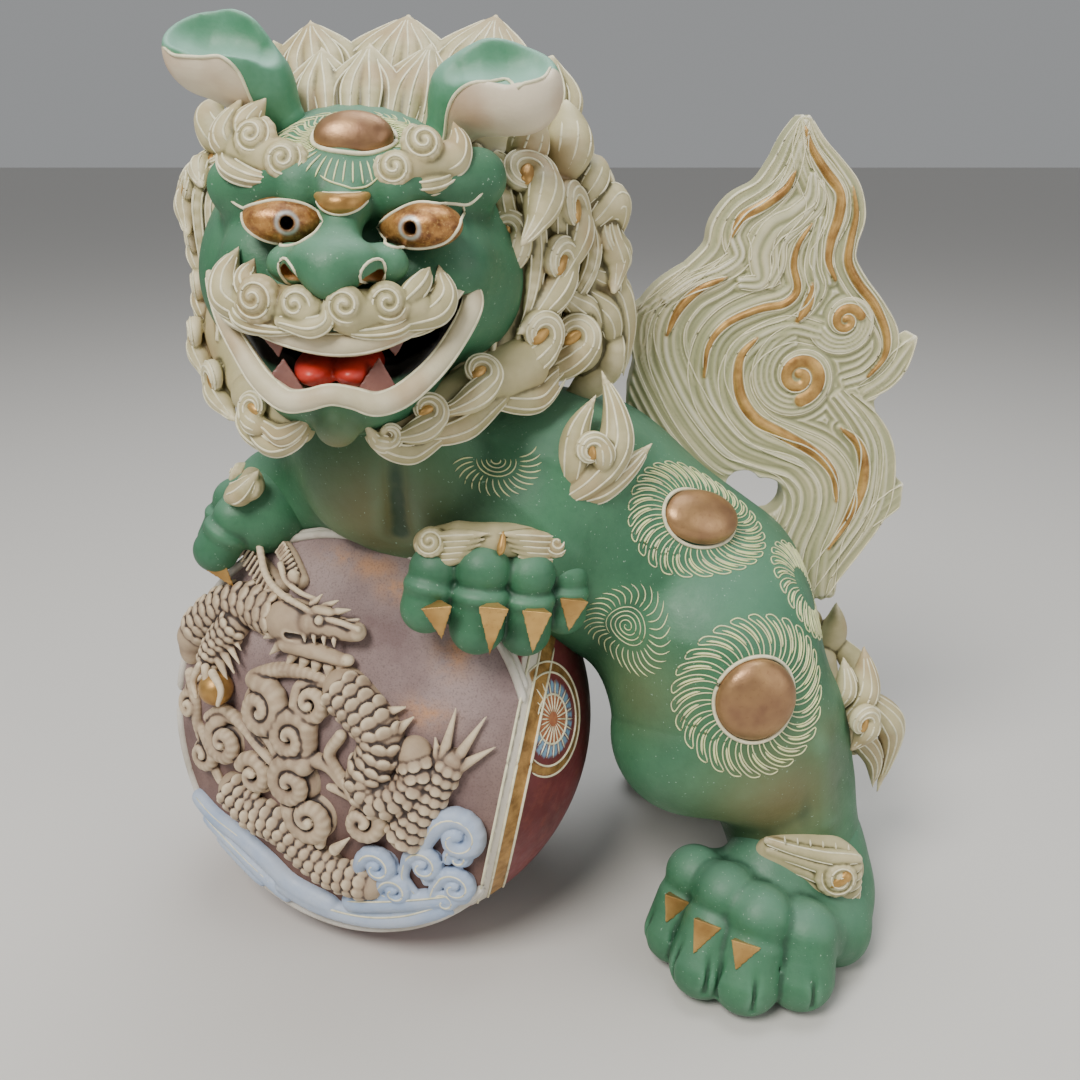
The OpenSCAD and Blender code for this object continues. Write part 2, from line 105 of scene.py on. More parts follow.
def add_lights():
    """A soft key, a top light, a fill and a pale surround."""
    world = bpy.data.worlds.new("studio")
    world.use_nodes = True
    world.node_tree.nodes["Background"].inputs[0].default_value = (0.93, 0.95, 0.97, 1)
    world.node_tree.nodes["Background"].inputs[1].default_value = 0.33
    bpy.context.scene.world = world
    add_area("key", (-0.45, -0.75, 1.15), (0, 0, 0.15), 0.55, 19, (1.0, 0.97, 0.92))
    add_area("top", (0.1, 0.25, 1.3), (0, 0, 0.15), 0.8, 9, (0.93, 0.97, 1.0))
    add_area("fill", (0.9, -0.6, 0.5), (0, 0, 0.15), 0.9, 4, (1.0, 0.98, 0.95))


# ---------------------------------------------------------------- clay: a distance grid

class Clay:
    """A block of distance values that shapes are added to and carved from."""

    def __init__(self, low, high, voxel):
        self.low = np.array(low, float)
        self.voxel = voxel
        self.shape = np.ceil((np.array(high, float) - self.low) / voxel).astype(int) + 1
        self.grid = np.full(self.shape, FAR, np.float32)

    def window(self, low, high, margin):
        a = np.floor((np.asarray(low) - margin - self.low) / self.voxel).astype(int)
        b = np.ceil((np.asarray(high) + margin - self.low) / self.voxel).astype(int) + 1
        a = np.clip(a, 0, self.shape)
        b = np.clip(b, 0, self.shape)
        if np.any(b <= a):
            return None, None
        axes = [self.low[i] + self.voxel * np.arange(a[i], b[i], dtype=np.float32) for i in range(3)]
        x = axes[0][:, None, None]
        y = axes[1][None, :, None]
        z = axes[2][None, None, :]
        return (slice(a[0], b[0]), slice(a[1], b[1]), slice(a[2], b[2])), (x, y, z)

    def blend(self, shape, soft=0.0, carve=False):
        low, high, distance = shape
        margin = max(soft, 2 * self.voxel) + 1.0
        where, xyz = self.window(low, high, margin)
        if where is None:
            return
        d = distance(*xyz)
        old = self.grid[where]
        if carve:
            self.grid[where] = -soft_min(-old, d, soft)
        else:
            self.grid[where] = soft_min(old, d, soft)

    def add(self, shape, soft=0.0):
        self.blend(shape, soft)

    def cut(self, shape, soft=0.0):
        self.blend(shape, soft, carve=True)

    def keep_above(self, z):
        heights = self.low[2] + self.voxel * np.arange(self.shape[2])
        self.grid = np.maximum(self.grid, (z - heights)[None, None, :].astype(np.float32))

    def sample(self, points):
        """Distance at points, by trilinear reading."""
        q = (np.asarray(points, float) - self.low) / self.voxel
        q = np.clip(q, 0, np.array(self.shape) - 1.001)
        i = q.astype(int)
        f = q - i
        out = 0
        for dx in (0, 1):
            for dy in (0, 1):
                for dz in (0, 1):
                    w = (f[:, 0] if dx else 1 - f[:, 0])
                    w = w * (f[:, 1] if dy else 1 - f[:, 1])
                    w = w * (f[:, 2] if dz else 1 - f[:, 2])
                    out = out + w * self.grid[i[:, 0] + dx, i[:, 1] + dy, i[:, 2] + dz]
        return out

    def mesh(self):
        """Points in millimetres and quads of the surface."""
        vdb = openvdb.FloatGrid(FAR)
        vdb.copyFromArray(np.clip(self.grid, -3 * self.voxel, 3 * self.voxel))
        points, quads = vdb.convertToQuads(0.0)
        return self.low + np.asarray(points, float) * self.voxel, np.asarray(quads, int)


def soft_min(a, b, k):
    """Smaller of two distances, rounded off over a width k."""
    if k <= 0:
        return np.minimum(a, b)
    h = np.maximum(k - np.abs(a - b), 0) / k
    return np.minimum(a, b) - h * h * (k / 4)


def ball(p, r):
    """Sphere as its bounds and its distance function."""
    p = arr(*p)
    return p - r, p + r, lambda x, y, z: np.sqrt((x - p[0]) ** 2 + (y - p[1]) ** 2
                                                 + (z - p[2]) ** 2) - r


def egg(p, radii, turn=(0, 0, 0)):
    """Ellipsoid turned by angles in degrees about X, Y and Z."""
    p = arr(*p)
    rad = arr(*radii)
    m = rotation(turn)
    big = rad.max()

    def distance(x, y, z):
        dx, dy, dz = x - p[0], y - p[1], z - p[2]
        q = [(m[0][k] * dx + m[1][k] * dy + m[2][k] * dz) / rad[k] for k in range(3)]
        n = np.sqrt(q[0] ** 2 + q[1] ** 2 + q[2] ** 2)
        g = np.sqrt((q[0] / rad[0]) ** 2 + (q[1] / rad[1]) ** 2 + (q[2] / rad[2]) ** 2)
        return n * (n - 1) / np.maximum(g, 1e-6)

    return p - big, p + big, distance


def rotation(turn):
    """Matrix that turns by angles in degrees about X, then Y, then Z."""
    ax, ay, az = (math.radians(t) for t in turn)
    cx, sx, cy, sy, cz, sz = (math.cos(ax), math.sin(ax), math.cos(ay), math.sin(ay), math.cos(az),
                              math.sin(az))
    rx = np.array([[1, 0, 0], [0, cx, -sx], [0, sx, cx]])
    ry = np.array([[cy, 0, sy], [0, 1, 0], [-sy, 0, cy]])
    rz = np.array([[cz, -sz, 0], [sz, cz, 0], [0, 0, 1]])
    return rz @ ry @ rx


def rod(p, q, r1, r2, flat=None, squash=1.0):
    """Round-ended taper from p to q; flat is a direction in which its section is scaled by squash."""
    p, q = arr(*p), arr(*q)
    d = q - p
    length = max(float(d @ d), 1e-9)
    big = max(r1, r2) * max(squash, 1.0)
    n = None if flat is None else unit(flat)

    def distance(x, y, z):
        ax, ay, az = x - p[0], y - p[1], z - p[2]
        t = np.clip((ax * d[0] + ay * d[1] + az * d[2]) / length, 0, 1)
        ax, ay, az = ax - t * d[0], ay - t * d[1], az - t * d[2]
        if n is not None:
            h = (ax * n[0] + ay * n[1] + az * n[2]) * (1 / squash - 1)
            ax, ay, az = ax + h * n[0], ay + h * n[1], az + h * n[2]
        dist = np.sqrt(ax * ax + ay * ay + az * az) - (r1 + t * (r2 - r1))
        return dist if n is None else dist * min(0.5 + 0.5 * squash, 1.0)

    return np.minimum(p, q) - big, np.maximum(p, q) + big, distance


def chain(clay, points, soft=0.0, carve=False, flat=None, squash=1.0):
    """Rods through (x, y, z, r) points."""
    for a, b in zip(points[:-1], points[1:]):
        clay.blend(rod(a[:3], b[:3], a[3], b[3], flat, squash), soft, carve)


def curve_through(points, steps=8):
    """Smooth curve through the given rows of numbers."""
    p = np.array(points, float)
    p = np.vstack([2 * p[0] - p[1], p, 2 * p[-1] - p[-2]])
    out = []
    for i in range(1, len(p) - 2):
        for k in range(steps):
            t = k / steps
            out.append(0.5 * (2 * p[i] + (p[i + 1] - p[i - 1]) * t
                              + (2 * p[i - 1] - 5 * p[i] + 4 * p[i + 1] - p[i + 2]) * t * t
                              + (3 * p[i] - p[i - 1] - 3 * p[i + 1] + p[i + 2]) * t ** 3))
    out.append(p[-2])
    return np.array(out)


# ---------------------------------------------------------------- mesh making

PIECES = {}


def make_piece(name, points, faces, material, nodes=(), smooth=True,
               attributes=None):
    """Mesh object from millimetre points in the working frame."""
    points = (np.asarray(points, float) + OFFSET) * MM
    mesh = bpy.data.meshes.new(name)
    mesh.vertices.add(len(points))
    mesh.vertices.foreach_set("co", points.astype(np.float32).ravel())
    faces = np.asarray(faces, int)
    mesh.loops.add(faces.size)
    mesh.loops.foreach_set("vertex_index", faces.ravel().astype(np.int32))
    mesh.polygons.add(len(faces))
    mesh.polygons.foreach_set("loop_start", (np.arange(len(faces)) * faces.shape[1]).astype(np.int32))
    mesh.update(calc_edges=True)
    mesh.validate()
    if smooth:
        mesh.shade_smooth()
    for key, values in (attributes or {}).items():
        layer = mesh.attributes.new(key, "FLOAT", "POINT")
        layer.data.foreach_set("value", np.asarray(values, np.float32))
    obj = bpy.data.objects.new(name, mesh)
    bpy.context.scene.collection.objects.link(obj)
    mesh.materials.append(material)
    if nodes:
        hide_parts(*nodes)
    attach(obj, "root")
    PIECES[name] = obj
    return obj


def cavity(points, faces, rounds=6):
    """How far each point sits below (negative) or above its smoothed surroundings."""
    a = np.concatenate([faces[:, 0], faces[:, 1], faces[:, 2], faces[:, -1]])
    b = np.concatenate([faces[:, 1], faces[:, 2], faces[:, -1], faces[:, 0]])
    count = np.bincount(a, minlength=len(points)) + np.bincount(b, minlength=len(points))
    count = np.maximum(count, 1)[:, None]
    soft = points.copy()
    for _ in range(rounds):
        total = np.stack([np.bincount(a, soft[b, k], len(points))
                          + np.bincount(b, soft[a, k], len(points)) for k in range(3)], 1)
        soft = total / count
    e1 = points[faces[:, 1]] - points[faces[:, 0]]
    e2 = points[faces[:, -1]] - points[faces[:, 0]]
    fn = np.cross(e1, e2)
    normal = np.zeros_like(points)
    for k in range(faces.shape[1]):
        for c in range(3):
            normal[:, c] += np.bincount(faces[:, k], fn[:, c], len(points))
    normal /= np.linalg.norm(normal, axis=1)[:, None] + 1e-9
    return ((points - soft) * normal).sum(1), normal


def without_crumbs(points, quads, least):
    """Drops loose scraps of surface with fewer points than least."""
    label = np.arange(len(points))
    edges = np.concatenate([quads[:, [k, (k + 1) % 4]] for k in range(4)])
    while True:
        low = np.minimum(label[edges[:, 0]], label[edges[:, 1]])
        new = label.copy()
        np.minimum.at(new, edges[:, 0], low)
        np.minimum.at(new, edges[:, 1], low)
        new = new[new]
        if np.array_equal(new, label):
            break
        label = new
    keep = np.bincount(label, minlength=len(points))[label] >= least
    place = np.cumsum(keep) - 1
    return points[keep], place[quads[keep[quads[:, 0]]]]


def sculpt(name, clay, material, nodes=(), extra=None, least=60):
    """Meshes a clay and gives each point its crease depth and any extra masks."""
    points, quads = clay.mesh()
    points, quads = without_crumbs(points, quads, least)
    cav, normal = cavity(points, quads)
    attributes = {"cavity": cav}
    for key, rule in (extra or {}).items():
        attributes[key] = rule(points, normal)
    obj = make_piece(name, points, quads, material, nodes, attributes=attributes)
    print("piece", name, len(quads), flush=True)
    return obj


class Lines:
    """Collects thin raised slip lines into one mesh."""

    def __init__(self, sides=6):
        self.points = []
        self.faces = []
        self.sides = sides
        self.count = 0

    def add(self, path, radius=0.42, taper=0.35):
        path = np.asarray(path, float)
        if len(path) < 3:
            return
        step = np.linalg.norm(np.diff(path, axis=0), axis=1)
        path = path[np.concatenate([[True], step > 0.02])]
        n = len(path)
        if n < 3:
            return
        t = np.gradient(path, axis=0)
        t /= np.linalg.norm(t, axis=1)[:, None] + 1e-9
        ref = np.where(np.abs(t[:, 2:3]) > 0.9, arr(1, 0, 0), arr(0, 0, 1))
        u = np.cross(t, ref)
        u /= np.linalg.norm(u, axis=1)[:, None] + 1e-9
        v = np.cross(t, u)
        s = np.linspace(0, 1, n)
        r = radius * (1 - taper * np.abs(2 * s - 1) ** 4)
        r[0] *= 0.3
        r[-1] *= 0.3
        ang = np.arange(self.sides) * 2 * math.pi / self.sides
        ring = (path[:, None] + r[:, None, None] * (np.cos(ang)[None, :, None] * u[:, None]
                                                   + np.sin(ang)[None, :, None] * v[:, None]))
        self.points.append(ring.reshape(-1, 3))
        i = np.arange(n - 1)[:, None] * self.sides
        j = np.arange(self.sides)[None]
        k = (j + 1) % self.sides
        quad = np.stack([i + j, i + k, i + self.sides + k, i + self.sides + j], -1).reshape(-1, 4)
        cap0 = [[0, 1, 2, 3], [0, 3, 4, 5]] if self.sides == 6 else [[0, 1, 2, 3]]
        last = (n - 1) * self.sides
        caps = np.array([c[::-1] for c in cap0] + [[last + q for q in c] for c in cap0])
        self.faces.append(np.vstack([quad, caps]) + self.count)
        self.count += n * self.sides

    def build(self, name, material, slot):
        if not self.points:
            return None
        return make_piece(name, np.vstack(self.points), np.vstack(self.faces), material)


class Skin:
    """Finds points on a finished piece, so that lines can lie on it."""

    def __init__(self, *objs):
        verts = []
        polys = []
        base = 0
        for obj in objs:
            mesh = obj.data
            co = np.empty(len(mesh.vertices) * 3, np.float32)
            mesh.vertices.foreach_get("co", co)
            co = co.reshape(-1, 3).astype(float) / MM - OFFSET
            loops = np.empty(len(mesh.loops), np.int32)
            mesh.loops.foreach_get("vertex_index", loops)
            verts.append(co)
            polys.append(loops.reshape(len(mesh.polygons), -1) + base)
            base += len(co)
        self.tree = BVHTree.FromPolygons(np.vstack(verts).tolist(), np.vstack(polys).tolist())

    def shoot(self, start, direction, reach=400):
        hit, normal, _, _ = self.tree.ray_cast(Vector(start), Vector(direction), reach)
        if hit is None:
            return None, None
        return np.array(hit), np.array(normal)

    def lay(self, path, direction, lift=0.12):
        """The path dropped along a direction onto the surface."""
        d = unit(direction)
        out = []
        for p in path:
            hit, normal = self.shoot(np.asarray(p) - d * 60, d, 120)
            if hit is not None:
                out.append(hit + normal * lift)
        return out


# ---------------------------------------------------------------- materials

class Nodes:
    """Short hand for building a node material."""

    def __init__(self, name):
        self.mat = bpy.data.materials.new(name)
        self.mat.use_nodes = True
        self.tree = self.mat.node_tree
        self.bsdf = self.tree.nodes["Principled BSDF"]

    def new(self, kind, **inputs):
        node = self.tree.nodes.new(kind)
        for key, value in inputs.items():
            self.put(node, key, value)
        return node

    def put(self, node, key, value):
        numbered = key[0] == "_" and key[1:].isdigit()
        socket = node.inputs[int(key[1:]) if numbered else key.replace("_", " ")]
        if isinstance(value, bpy.types.NodeSocket):
            self.tree.links.new(value, socket)
        else:
            socket.default_value = value

    def noise(self, scale, detail=3.0, rough=0.5):
        coords = self.new("ShaderNodeTexCoord")
        node = self.new("ShaderNodeTexNoise", Vector=coords.outputs["Object"], Scale=scale,
                        Detail=detail, Roughness=rough)
        return node.outputs["Fac"]

    def ramp(self, fac, low, high, a=0.0, b=1.0):
        node = self.new("ShaderNodeMapRange")
        self.put(node, "_0", fac)
        for index, value in enumerate((low, high, a, b)):
            node.inputs[index + 1].default_value = value
        return node.outputs[0]

    def mix(self, fac, a, b):
        node = self.new("ShaderNodeMix")
        node.data_type = "RGBA"
        self.put(node, "_0", fac)
        for key, value in (("_6", a), ("_7", b)):
            if not isinstance(value, bpy.types.NodeSocket):
                value = tuple(value) + (1.0,)
            self.put(node, key, value)
        return node.outputs[2]

    def math(self, op, a, b=0.0):
        node = self.new("ShaderNodeMath")
        node.operation = op
        self.put(node, "_0", a)
        self.put(node, "_1", b)
        return node.outputs[0]

    def attribute(self, name):
        node = self.new("ShaderNodeAttribute")
        node.attribute_name = name
        return node.outputs["Fac"]

    def upward(self):
        geo = self.new("ShaderNodeNewGeometry")
        sep = self.new("ShaderNodeSeparateXYZ", Vector=geo.outputs["Normal"])
        return sep.outputs["Z"]

    def bump(self, height, strength, distance):
        node = self.new("ShaderNodeBump", Height=height, Strength=strength, Distance=distance)
        self.tree.links.new(node.outputs[0], self.bsdf.inputs["Normal"])

    def colour(self, socket):
        self.put(self.bsdf, "Base_Color", socket)

    def rough(self, value):
        self.put(self.bsdf, "Roughness", value)


def srgb(text):
    """Linear colour from a six-digit sRGB code."""
    values = [int(text[i:i + 2], 16) / 255 for i in (0, 2, 4)]
    return tuple(v / 12.92 if v <= 0.04045 else ((v + 0.055) / 1.055) ** 2.4 for v in values)


def glaze_green():
    """Matte green glaze: mottled, with brown airbrushed patches; paler on top and on ridges as painted
    highlight, dark in creases and deep inside the mouth as painted shade.
    """
    m = Nodes("green_matte_glaze")
    base = m.mix(m.ramp(m.noise(38, 4, 0.6), 0.35, 0.7), srgb("2f6244"), srgb("407553"))
    base = m.mix(m.ramp(m.noise(420, 2, 0.5), 0.5, 0.8, 0, 0.3), base, srgb("2a5a40"))
    # Painted highlight: upward-facing surfaces paler, as if lit from above.
    base = m.mix(m.ramp(m.upward(), 0.3, 1.0, 0, 0.36), base, srgb("7da792"))
    base = m.mix(m.attribute("patch"), base, srgb("7d6a40"))
    # Painted shade: creases darkened by their depth.
    base = m.mix(m.ramp(m.attribute("cavity"), -0.02, -0.22, 0, 0.8), base, srgb("173c28"))
    # Painted highlight: raised ridges paler.
    base = m.mix(m.ramp(m.attribute("cavity"), 0.06, 0.3, 0, 0.25), base, srgb("74a789"))
    spots = m.ramp(m.noise(1100, 1, 0.5), 0.73, 0.77)
    base = m.mix(m.math("MULTIPLY", spots, 0.5), base, srgb("a9c9b2"))
    base = m.mix(m.attribute("gold"), base, srgb("a9793f"))
    # Painted shade: near black deep inside the mouth, from the mouth_shade mask.
    m.colour(m.mix(m.attribute("inside"), base, srgb("14100e")))
    m.rough(m.ramp(m.noise(160, 3, 0.6), 0.3, 0.7, 0.46, 0.62))
    grain = m.math("ADD", m.noise(700, 3, 0.6), m.math("MULTIPLY", m.noise(60, 2, 0.5), 1.5))
    m.bump(grain, 0.25, 0.0006)
    return m.mat


def glaze_cream(name="cream_relief", light="c8bd94", mid="a29a70", dark="4f4929", crest="e6dcb8"):
    """Cream slip with random brown airbrushed patches; painted shade turns the recesses grey-green and
    the deepest dark brown, standing also for brown airbrush in the deepest grooves; painted highlight on
    the crests.
    """
    m = Nodes(name)
    cav = m.attribute("cavity")
    base = m.mix(m.ramp(m.noise(55, 4, 0.6), 0.3, 0.7), srgb(light), srgb(mid))
    # Painted shade: recesses darkened by crease depth, first to the mid tone, then to the dark tone in
    # the deepest, which also stands for brown airbrush there.
    base = m.mix(m.ramp(cav, 0.08, -0.08, 0, 0.9), base, srgb(mid))
    base = m.mix(m.ramp(cav, -0.02, -0.22, 0, 0.95), base, srgb(dark))
    # Painted highlight: raised crests paler.
    base = m.mix(m.ramp(cav, 0.12, 0.32, 0, 0.75), base, srgb(crest))
    blush = m.ramp(m.noise(45, 2, 0.5), 0.5, 0.68, 0, 0.6)
    base = m.mix(blush, base, srgb("a78a62"))
    m.colour(base)
    m.rough(m.ramp(m.noise(200, 3, 0.6), 0.3, 0.7, 0.45, 0.62))
    m.bump(m.noise(900, 3, 0.6), 0.2, 0.0004)
    return m.mat


def glaze_bisque():
    """Unglazed relief: painted highlight makes the crests pale, and painted shade darkens every recess
    nearly to black.
    """
    m = Nodes("bisque_relief")
    cav = m.attribute("cavity")
    base = m.mix(m.ramp(m.noise(60, 4, 0.6), 0.3, 0.7), srgb("b9a488"), srgb("96806a"))
    # Painted shade: recesses darkened by crease depth, nearly to black in the deepest.
    base = m.mix(m.ramp(cav, 0.05, -0.05, 0, 0.8), base, srgb("6a5446"))
    base = m.mix(m.ramp(cav, 0.0, -0.14, 0, 0.95), base, srgb("2c201b"))
    # Painted highlight: raised crests paler.
    base = m.mix(m.ramp(cav, 0.08, 0.26, 0, 0.85), base, srgb("dccbad"))
    m.colour(base)
    m.rough(m.ramp(m.noise(200, 3, 0.6), 0.3, 0.7, 0.55, 0.75))
    m.bump(m.noise(1100, 3, 0.6), 0.3, 0.0004)
    return m.mat


def slip_white(name="white_slip_line", tint="ece5c6"):
    """Raised slip line, a little uneven in tone."""
    m = Nodes(name)
    m.colour(m.mix(m.ramp(m.noise(300, 3, 0.5), 0.35, 0.75), srgb(tint), srgb("c9c6a4")))
    m.rough(m.ramp(m.noise(500, 2, 0.5), 0.3, 0.7, 0.45, 0.6))
    m.bump(m.noise(1200, 2, 0.5), 0.15, 0.0002)
    return m.mat


def gilt(name="gilt_lustre", light="cda562", dark="946c38"):
    """Brushed-on gold lustre, browner where it is thin."""
    m = Nodes(name)
    worn = m.ramp(m.noise(70, 3, 0.55), 0.35, 0.7)
    base = m.mix(worn, srgb(light), srgb(dark))
    base = m.mix(m.ramp(m.noise(700, 2, 0.6), 0.6, 0.85, 0, 0.4), base, srgb("6a4626"))
    m.colour(base)
    m.bsdf.inputs["Metallic"].default_value = 0.6
    m.rough(m.ramp(m.noise(240, 4, 0.6), 0.3, 0.7, 0.3, 0.52))
    m.bump(m.noise(600, 4, 0.6), 0.25, 0.0004)
    return m.mat


def eye_gilt():
    """Gilt eyeball, rubbed brown, with a pale ring round a black drilled pupil."""
    m = Nodes("eye_gilt")
    base = m.mix(m.ramp(m.noise(260, 4, 0.65), 0.35, 0.65), srgb("b98548"), srgb("6f4426"))
    base = m.mix(m.ramp(m.noise(1200, 2, 0.6), 0.55, 0.8, 0, 0.6), base, srgb("d8b068"))
    base = m.mix(m.attribute("ring"), base, srgb("b9b9b4"))
    m.colour(m.mix(m.attribute("inside"), base, srgb("0b0a09")))
    m.bsdf.inputs["Metallic"].default_value = 0.45
    m.rough(m.ramp(m.noise(400, 3, 0.6), 0.3, 0.7, 0.28, 0.5))
    m.bump(m.noise(700, 4, 0.6), 0.3, 0.0004)
    return m.mat


def ear_glaze():
    """Green hollow above and cream lobe below, by the surface mask, with painted highlight on the
    upward-facing green and rosy airbrush in the folds.
    """
    m = Nodes("ear_glaze")
    green = m.mix(m.ramp(m.noise(60, 4, 0.6), 0.35, 0.7), srgb("3f7d5a"), srgb("5d9578"))
    # Painted highlight: upward-facing green paler, as if lit from above.
    green = m.mix(m.ramp(m.upward(), 0.2, 0.95, 0, 0.7), green, srgb("8fb7a8"))
    cream = m.mix(m.ramp(m.noise(45, 3, 0.6), 0.35, 0.7), srgb("dccfb6"), srgb("c2a98c"))
    cream = m.mix(m.ramp(m.noise(22, 2, 0.5), 0.5, 0.75, 0, 0.6), cream, srgb("b08d74"))
    m.colour(m.mix(m.attribute("cream"), green, cream))
    m.rough(m.ramp(m.noise(200, 3, 0.6), 0.3, 0.7, 0.46, 0.62))
    m.bump(m.noise(700, 3, 0.6), 0.2, 0.0005)
    return m.mat


def plain_glaze(name, light, dark, rough=0.5, scale=60):
    """One glaze in two mottled tones."""
    m = Nodes(name)
    base = m.mix(m.ramp(m.noise(scale, 4, 0.6), 0.3, 0.72), srgb(light), srgb(dark))
    m.colour(m.mix(m.ramp(m.noise(700, 2, 0.5), 0.6, 0.8, 0, 0.4), base, srgb(dark)))
    m.rough(m.ramp(m.noise(260, 3, 0.6), 0.3, 0.7, rough - 0.08, rough + 0.1))
    m.bump(m.noise(800, 3, 0.6), 0.2, 0.0004)
    return m.mat


def make_materials():
    """Every material by its short name."""
    return {
        "green": glaze_green(),
        "cream": glaze_cream(),
        "tail": tail_glaze(),
        "white": slip_white(),
        "yellow": slip_white("yellow_slip_line", "dfe3a4"),
        "gold": gilt(),
        "boss": gilt("gilt_boss", "ab865c", "86634a"),
        "tongue": plain_glaze("tongue_red", "cf3a2c", "a92a20", 0.4),
        "fang": plain_glaze("fang_mauve", "8d5f54", "5f3a34", 0.42),
        "lip": glaze_cream("lip_cream", "d9d0b4", "c2b896", "857a5a"),
        "eye": eye_gilt(),
        "ear": ear_glaze(),
        "red": ball_glaze(),
        "panel": panel_glaze(),
        "rim": plain_glaze("panel_rim_white", "ddd9d0", "b3ab9c", 0.5),
        "bisque": glaze_bisque(),
        "wave": plain_glaze("wave_blue", "ccd1d6", "7f9cc6", 0.5, 22),
    }


# ---------------------------------------------------------------- body

MID = 5.0
TORSO = [(-64, -2, 198, 36), (-62, -1, 181, 37), (-8, 4, 156, 43), (40, 5, 122, 42)]
THIGH = [(42, -17, 112, 38), (36, -30, 84, 30)]
SHANK = [(58, -22, 84, 30), (71, -20, 62, 25), (78, -28, 34, 25)]
FORE_NEAR = [(-16, -18, 180, 27), (-24, -26, 162, 23), (-32, -32, 152, 18)]
FORE_FAR = [(-94, 8, 172, 24), (-116, 8, 163, 18)]


def mirrored(points):
    """Points moved to the far side of the body."""
    return [(p[0], 2 * MID - p[1]) + tuple(p[2:]) for p in points]


def body_groups():
    """The nodes that each body piece replaces, and the limb lines it follows."""
    return {
        "torso": (("torso_shell",), [TORSO]),
        "hind_leg_near": (("hind_leg_near",), [THIGH, SHANK]),
        "hind_leg_far": (("hind_leg_far",), [mirrored(THIGH), mirrored(SHANK)]),
        "foreleg_near": (("foreleg_near",), [FORE_NEAR]),
        "foreleg_far": (("foreleg_far",), [FORE_FAR]),
    }


def body_clay():
    """Torso, legs and forelegs as one clay, before it is split into pieces."""
    clay = Clay((-150, -72, -1), (128, 84, 240), 1.15)
    for _, chains in body_groups().values():
        for points in chains:
            chain(clay, points, 11)
    for side in (1, -1):
        y = lambda v: MID + (v - MID) * side
        clay.add(rod((42, y(-17), 112), (58, y(-22), 84), 35, 32), 12)
        clay.add(rod((80, y(-22), 92), (86, y(-18), 78), 8, 8), 8)
        clay.add(rod((34, y(-34), 84), (52, y(-40), 76), 19, 16), 12)
        clay.add(rod((76, y(-46), 88), (82, y(-44), 58), 2.5, 2.0), 8)
    clay.add(ball((-80, -8, 188), 27), 12)
    clay.add(egg((-82, -26, 178), (15, 10, 18)), 9)
    clay.add(egg((-52, -28, 178), (15, 10, 18)), 9)
    clay.cut(rod((-67, -43, 190), (-67, -38, 164), 1.2, 2.0), 7)
    clay.cut(rod((6, -48, 176), (-4, -50, 142), 1.0, 2.0), 8)
    clay.keep_above(0)
    return clay


def body_patch(points, normal):
    """Where brown is airbrushed on the body."""
    spots = [(-75, -46, 168, 26, 0.7), (62, -52, 70, 24, 0.75), (22, -38, 108, 16, 0.5),
             (86, -52, 96, 12, 0.5)]
    out = np.zeros(len(points))
    for x, y, z, r, s in spots:
        d = np.linalg.norm(points - arr(x, y, z), axis=1) / r
        out = np.maximum(out, s * np.exp(-d * d))
    return out


def split_body(clay, material):
    """The green body as its separately cast pieces, with shading carried across their joins."""
    points, quads = clay.mesh()
    cav, normal = cavity(points, quads)
    patch = body_patch(points, normal)
    centres = points[quads].mean(1)
    groups = body_groups()
    distance = []
    for _, chains in groups.values():
        d = np.full(len(centres), 1e9)
        for line in chains:
            for a, b in zip(line[:-1], line[1:]):
                shape = rod(a[:3], b[:3], a[3], b[3])
                d = np.minimum(d, shape[2](centres[:, 0], centres[:, 1], centres[:, 2]))
        distance.append(d)
    label = np.argmin(np.array(distance), axis=0)
    for index, (name, (nodes, _)) in enumerate(groups.items()):
        faces = quads[label == index]
        used, inverse = np.unique(faces, return_inverse=True)
        obj = make_piece(name, points[used], inverse.reshape(faces.shape), material, nodes,
                         attributes={"cavity": cav[used], "patch": patch[used]})
        obj.data.normals_split_custom_set_from_vertices(normal[used].tolist())
        print("piece", name, len(faces), flush=True)


# ---------------------------------------------------------------- curls and leaves

def tangent_frame(normal, up=(0, 0, 1)):
    """Two directions along a surface, and its normal."""
    n = unit(normal)
    x = unit(np.cross(up, n))
    return x, np.cross(n, x), n


def drop_mesh(length, width, height, bend=0.35, rows=9, cols=14):
    """A bent teardrop bead, lying along X, as points and quads."""
    points = []
    for i in range(rows + 1):
        t = i / rows
        x = length * (2 * t - 1)
        w = width * math.sqrt(max(1 - (2 * t - 1) ** 2, 0)) * (1.1 - 0.55 * t)
        for k in range(cols):
            a = 2 * math.pi * k / cols
            points.append((x, w * math.cos(a) + bend * length * (t * t - 0.3),
                           height * w / width * math.sin(a)))
    faces = []
    for i in range(rows):
        for k in range(cols):
            j = (k + 1) % cols
            faces.append((i * cols + k, i * cols + j, (i + 1) * cols + j, (i + 1) * cols + k))
    return np.array(points), np.array(faces)


